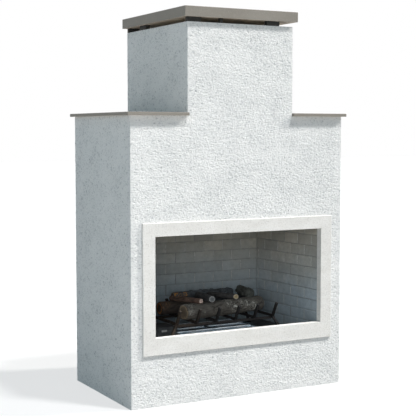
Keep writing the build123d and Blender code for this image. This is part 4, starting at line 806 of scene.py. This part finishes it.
def carve_log(name, radius, start, end, bow, stubs, finish, furrow, lumpy, scars, saw, domed, seed):
    """A log from start to end, replacing its plain casting.

    stubs are (share, turn, rise), scars are (share, turn, reach) of veined
    skin, saw turns the two cuts off square and domed rounds the ends over.
    """
    start, end = Vector(start), Vector(end)
    run = end - start
    along = run.normalized()
    sideways = along.cross(Vector((0, 0, 1))).normalized()
    upward = sideways.cross(along)
    length = run.length
    rounds = max(24, round(length / RING_STEP))
    facets = max(36, round(math.tau * radius / FACET_STEP))
    sawn_face = 0.0 if domed else 1.0
    bm = bmesh.new()
    layers = bm.verts.layers.float
    ridge_layer, cut_layer = layers.new("ridge"), layers.new("cut")
    growth_layer, scar_layer = layers.new("growth"), layers.new("scar")
    shift = Vector((seed * 3.7, seed * 1.9, seed * 5.3))

    def bark(share, turn):
        """How far bark stands out, 0 in a furrow and 1 on a plate, at a place on the log."""
        x, y, z = math.cos(turn) * radius, math.sin(turn) * radius, share * length
        coarse = Vector((x * PLATE_ROUND, y * PLATE_ROUND, z * PLATE_LONG))
        plates = 1.0 - abs(noise.noise(coarse + shift)) * 2.4
        fine = noise.noise(Vector((x * FINE_ROUND, y * FINE_ROUND, z * FINE_LONG)) + shift)
        return max(0.0, min(1.0, 1.0 - max(0.0, plates) ** 2 + fine * 0.28))

    def away_from(share, turn, at, degrees):
        """Distance over the skin between two places on the log."""
        round_log = math.sin((turn - math.radians(degrees)) / 2) * 2 * radius
        return math.hypot((share - at) * length, round_log)

    def swell(share, turn):
        """Rise and pale ring of the collars where branches were."""
        rise, ring = 0.0, 0.0
        ring_grain = Vector((math.cos(turn) * 3.0, math.sin(turn) * 3.0, share * length * 45.0))
        for at, degrees, height in stubs:
            reach = away_from(share, turn, at, degrees) / (radius * STUB_SHARE)
            if reach < COLLAR_REACH:
                collar = math.exp(-((reach - 1.0) / COLLAR_WIDTH) ** 2)
                core = 1.0 if reach < CORE_EDGE else max(0.0, 1.0 - (reach - CORE_EDGE) / CORE_FADE)
                rise = max(rise, height * (core * 0.75 + collar * 0.35))
                broken = max(0.0, min(1.0, 0.45 + noise.noise(ring_grain + shift) * 2.4))
                ring = max(ring, math.exp(-((reach - RING_AT) / RING_WIDTH) ** 2) * broken)
        return rise, ring

    def scar_at(share, turn):
        """How much of the veined, barkless skin shows at a place on the log."""
        value = 0.0
        for at, degrees, reach in scars:
            value = max(value, 1.0 - away_from(share, turn, at, degrees) / reach)
        return max(0.0, min(1.0, value * 1.6))

    loops = []
    for r in range(rounds + 1):
        share = r / rounds
        wide, high = share_of(WIDE_SHARES, share), share_of(HIGH_SHARES, share)
        centre = start + run * share + sideways * (bow * math.sin(math.pi * share))
        centre += upward * noise.noise(Vector((share * 5.0, seed, 0.0))) * radius * 0.03
        from_end = min(share, 1.0 - share) * length
        dome = 1.0
        if domed and from_end < radius * domed:
            dome = math.sqrt(max(0.0, 1.0 - (1.0 - from_end / (radius * domed)) ** 2)) * 0.65 + 0.35
        slant = 0.0
        for turned, distance in ((saw[0], share * length), (saw[1], (share - 1.0) * length)):
            if turned and abs(distance) < SAW_REACH * radius:
                slant += math.tan(math.radians(turned)) * (1.0 - abs(distance) / (SAW_REACH * radius))
        loop = []
        for f in range(facets):
            turn = math.tau * f / facets
            plate = bark(share, turn)
            collar, ring = swell(share, turn)
            lump = noise.noise(Vector((math.cos(turn), math.sin(turn), share * length * 16.0)) * 1.4 + shift)
            out = (radius + lump * radius * lumpy) * dome + collar - (1.0 - plate) * furrow
            if r in (0, rounds):
                out -= RIM_TUCK
            across, above = math.cos(turn) * out * wide, math.sin(turn) * out * high
            spot = bm.verts.new(centre + along * (across * slant) + sideways * across + upward * above)
            spot[ridge_layer] = plate
            spot[growth_layer] = 1.0
            zone = scar_at(share, turn)
            spot[scar_layer] = min(1.0, zone * (0.55 + ring * 0.6))
            loop.append(spot)
        loops.append(loop)
    for r in range(rounds):
        for f in range(facets):
            g = (f + 1) % facets
            bm.faces.new((loops[r][f], loops[r][g], loops[r + 1][g], loops[r + 1][f])).smooth = True
    for loop, outward, middle in ((loops[0], -along, start), (loops[-1], along, end)):
        inner = loop
        for s in range(1, FACE_RINGS + 1):
            share = 1.0 - s / (FACE_RINGS + 0.6)
            ring = []
            for f, rim in enumerate(loop):
                turn = math.tau * f / facets
                check = Vector((math.cos(turn) * 2.2, math.sin(turn) * 2.2, seed))
                crack = max(0.0, noise.noise(check) - 0.25)
                dip = 0.0008 * math.sin(share * 26.0) - crack * 0.004 * share
                spot = bm.verts.new(middle + (rim.co - middle) * share + outward * (FACE_PROUD + dip))
                spot[ridge_layer] = 0.6
                spot[growth_layer] = share
                spot[cut_layer] = sawn_face
                ring.append(spot)
            for f in range(facets):
                g = (f + 1) % facets
                quad = (inner[f], inner[g], ring[g], ring[f])
                bm.faces.new(quad if outward.dot(along) > 0 else quad[::-1]).smooth = True
            inner = ring
        hub = bm.verts.new(middle + outward * HUB_PROUD)
        hub[cut_layer] = sawn_face
        for f in range(facets):
            g = (f + 1) % facets
            fan = (inner[f], inner[g], hub)
            bm.faces.new(fan if outward.dot(along) > 0 else fan[::-1]).smooth = True
    bmesh.ops.recalc_face_normals(bm, faces=bm.faces)
    piece = make_piece(bm, name + "_carved", finish)
    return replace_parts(piece, name)


LENGTHWAYS, CROSSWAYS = (0.22, 1.0, 1.0), (1.0, 0.22, 1.0)
brown_log = log_finish(
    "brown_log", LENGTHWAYS, ((0.030, 0.026, 0.022), (0.108, 0.096, 0.082)),
    ((0.10, 0.075, 0.050), (0.15, 0.115, 0.078), (0.36, 0.27, 0.18)), (0.72, 0.68, 0.61), 0.03,
)
orange_log = log_finish(
    "orange_log", LENGTHWAYS, ((0.016, 0.012, 0.010), (0.050, 0.038, 0.030)),
    ((0.045, 0.030, 0.022), (0.10, 0.050, 0.026), (0.55, 0.22, 0.06)), (0.42, 0.20, 0.08), 0.05,
)
charred_log = log_finish(
    "charred_log", LENGTHWAYS, ((0.010, 0.011, 0.012), (0.048, 0.054, 0.060)),
    ((0.030, 0.030, 0.022), (0.055, 0.050, 0.030), (0.16, 0.09, 0.03)), (0.62, 0.26, 0.05), 0.22,
)
ashen_log = log_finish(
    "ashen_log", LENGTHWAYS, ((0.012, 0.013, 0.014), (0.075, 0.084, 0.092)),
    ((0.030, 0.030, 0.022), (0.055, 0.050, 0.030), (0.16, 0.09, 0.03)), (1.0, 0.44, 0.06), 0.20,
)
mossy_log = log_finish(
    "mossy_log", CROSSWAYS, ((0.014, 0.016, 0.014), (0.060, 0.064, 0.056)),
    ((0.05, 0.05, 0.045), (0.06, 0.06, 0.05), (0.07, 0.07, 0.06)), (0.16, 0.17, 0.15), 0.10,
)
pink_log = log_finish(
    "pink_log", CROSSWAYS, ((0.028, 0.018, 0.015), (0.110, 0.068, 0.050)),
    ((0.34, 0.20, 0.17), (0.72, 0.54, 0.46), (0.80, 0.63, 0.55)), (0.55, 0.36, 0.28), 0.05,
)
slate_log = log_finish(
    "slate_log", CROSSWAYS, ((0.012, 0.012, 0.013), (0.050, 0.050, 0.052)),
    ((0.11, 0.115, 0.12), (0.17, 0.175, 0.18), (0.58, 0.57, 0.55)), (0.40, 0.38, 0.36), 0.06,
)
straw_log = log_finish(
    "straw_log", CROSSWAYS, ((0.012, 0.011, 0.011), (0.046, 0.044, 0.044)),
    ((0.34, 0.26, 0.13), (0.62, 0.50, 0.33), (0.74, 0.60, 0.46)), (0.44, 0.38, 0.30), 0.05,
)

carve_log(
    "front_log", 0.0430, (-0.2132, -0.1318, 0.4181), (0.3060, -0.0449, 0.4181), 0.0069,
    [(0.46, 25, 0.0056), (0.72, 20, 0.0056), (0.58, -18, 0.0030), (0.83, -8, 0.0035)],
    brown_log, 0.0014, 0.05,
    [(0.52, 62, 0.050), (0.60, -5, 0.040), (0.74, 20, 0.050), (0.68, 60, 0.040), (0.84, -8, 0.045),
     (0.20, -4, 0.010), (0.06, 60, 0.034), (0.02, 100, 0.036), (0.03, 10, 0.030)],
    (8, 0), 0, 1,
)
carve_log(
    "rear_left_log", 0.03795, (-0.2669, 0.0503, 0.4161), (-0.0261, 0.0566, 0.4161), 0.0,
    [(0.62, 118, 0.0068)], orange_log, 0.0018, 0.04, [(0.08, 50, 0.045)], (0, 0), 0, 2,
)
carve_log(
    "rear_right_log", 0.03906, (0.0087, 0.0676, 0.4172), (0.2611, 0.0676, 0.4172), 0.0,
    [(0.8, 20, 0.0055)], charred_log, 0.0028, 0.05, [], (0, 0), 0, 3,
)
carve_log(
    "back_log", 0.02205, (-0.1624, 0.1051, 0.4682), (0.2089, 0.0975, 0.4682), -0.0069,
    [(0.05, 15, 0.0010), (0.19, 25, 0.0010), (0.32, 95, 0.0040), (0.47, 80, 0.0052),
     (0.66, 95, 0.0062), (0.80, 60, 0.0050), (0.93, 90, 0.0050)],
    ashen_log, 0.0030, 0.14, [(0.05, 10, 0.044), (0.20, 20, 0.024)], (0, 0), 0, 4,
)
carve_log(
    "gnarled_log", 0.0300, (0.2280, -0.0780, 0.4750), (0.2440, 0.0780, 0.4790), 0.0,
    [(0.30, 185, 0.0090), (0.62, 170, 0.0110), (0.80, 140, 0.0060), (0.5, 30, 0.0040)],
    mossy_log, 0.0044, 0.12, [], (0, 0), 0.55, 5,
)
carve_log(
    "cross_left_log", 0.01512, (-0.1189, -0.1479, 0.4727), (-0.2002, 0.0503, 0.4682), 0.0,
    [(0.6, 80, 0.0021)], pink_log, 0.0018, 0.05, [(0.1, 90, 0.02)], (-22, 0), 0, 6,
)
carve_log(
    "cross_middle_log", 0.01953, (-0.0522, -0.1479, 0.4777), (-0.0319, 0.0566, 0.4732), 0.0,
    [], slate_log, 0.0016, 0.05, [], (-14, 0), 0, 7,
)
carve_log(
    "cross_right_log", 0.01606, (0.1201, -0.1019, 0.4727), (0.0348, 0.0629, 0.4704), 0.0,
    [(0.5, 100, 0.0022)], straw_log, 0.0014, 0.06, [(0.08, 60, 0.015)], (-34, 0), 0, 8,
)

# Studio: a plain pale floor that keeps the shadow, a white backdrop and dim
# even sky, two far lamps from the right and above whose shadows fall as one, a
# broad weak lamp from the left, and a camera at the photograph's viewpoint.
FLOOR_HALF = 40.0
FLOOR_GLOW = 0.63
SKY_LEFT, SKY_RIGHT = 0.41, 0.12


def seen_directly(made):
    """1 for what the camera sees or a surface mirrors, 0 for what lights the object."""
    ray = made.node_tree.nodes.new("ShaderNodeLightPath")
    mirrored = both(made, ray.outputs["Is Glossy Ray"], ray.outputs["Is Transmission Ray"], "MAXIMUM")
    return both(made, ray.outputs["Is Camera Ray"], mirrored, "MAXIMUM")


def past(made, axis, reach):
    """1 where a place lies further out along an axis than the reach, on either side."""
    distance = both(made, axis_of(made, place(made), axis), 0.0, "ABSOLUTE")
    return both(made, distance, reach, "GREATER_THAN")


def hang_lamp(name, kind, energy, comes_from):
    """A lamp whose light comes from the given direction."""
    lamp = bpy.data.lights.new(name, kind)
    lamp.energy = energy
    holder = bpy.data.objects.new(name, lamp)
    holder.rotation_mode = "QUATERNION"
    holder.rotation_quaternion = Vector(comes_from).to_track_quat("Z", "Y")
    bpy.context.scene.collection.objects.link(holder)
    return holder


floor_mesh = bpy.data.meshes.new("studio_floor")
corners = [(x * FLOOR_HALF, y * FLOOR_HALF, 0) for x, y in ((-1, -1), (1, -1), (1, 1), (-1, 1))]
floor_mesh.from_pydata(corners, [], [(0, 1, 2, 3)])
floor = bpy.data.objects.new("studio_floor", floor_mesh)
bpy.context.scene.collection.objects.link(floor)
floor_paint = surface("studio_white", (0.27, 0.27, 0.27), 0.9, Emission_Color=(1.0, 1.0, 1.0, 1.0))
outside = both(floor_paint, past(floor_paint, "X", body_x), past(floor_paint, "Y", body_y), "MAXIMUM")
open_floor = both(floor_paint, seen_directly(floor_paint), outside, "MULTIPLY")
wire(floor_paint, span(floor_paint, open_floor, 0.0, FLOOR_GLOW), "Emission Strength")
floor_mesh.materials.append(floor_paint)

world = bpy.data.worlds.new("studio")
bpy.context.scene.world = world
world.use_nodes = True
sky, links = world.node_tree.nodes, world.node_tree.links
ambient = sky["Background"]
ambient.inputs["Color"].default_value = (0.64, 0.905, 1.04, 1.0)
from_where = sky.new("ShaderNodeTexCoord")
across_sky = axis_of(world, from_where.outputs["Generated"], "X")
links.new(span(world, across_sky, SKY_LEFT, SKY_RIGHT, -1.0, 1.0), ambient.inputs["Strength"])
backdrop = sky.new("ShaderNodeBackground")
backdrop.inputs["Color"].default_value = (1.0, 1.0, 1.0, 1.0)
backdrop.inputs["Strength"].default_value = 1.0
choose = sky.new("ShaderNodeMixShader")
links.new(seen_directly(world), choose.inputs["Fac"])
links.new(ambient.outputs["Background"], choose.inputs[1])
links.new(backdrop.outputs["Background"], choose.inputs[2])
links.new(choose.outputs["Shader"], sky["World Output"].inputs["Surface"])

key = hang_lamp("key", "SUN", 3.1, (0.74, -0.20, 0.64))
key.data.angle = math.radians(3)
key.data.color = (1.0, 0.965, 0.915)
overhead = hang_lamp("overhead", "SUN", 2.75, (0.26, -0.33, 0.91))
overhead.data.angle = math.radians(6)
FILL_PLACE, FILL_AIM = Vector((-3.0, -4.4, 1.6)), Vector((0, 0, 0.9))
fill = hang_lamp("fill", "AREA", 60.0, FILL_PLACE - FILL_AIM)
fill.location = FILL_PLACE
fill.data.shape = "RECTANGLE"
fill.data.size, fill.data.size_y = 3.0, 2.0

camera = bpy.data.cameras.new("camera")
camera.sensor_width = 36.0
camera.lens = 91.54
camera_place = bpy.data.objects.new("camera", camera)
camera_place.location = (-2.717, -5.027, 1.3628)
camera_place.rotation_euler = (math.radians(90 - 4.113), 0.0, math.radians(-28.42))
bpy.context.scene.collection.objects.link(camera_place)
bpy.context.scene.camera = camera_place
bpy.context.scene.view_settings.view_transform = "Standard"
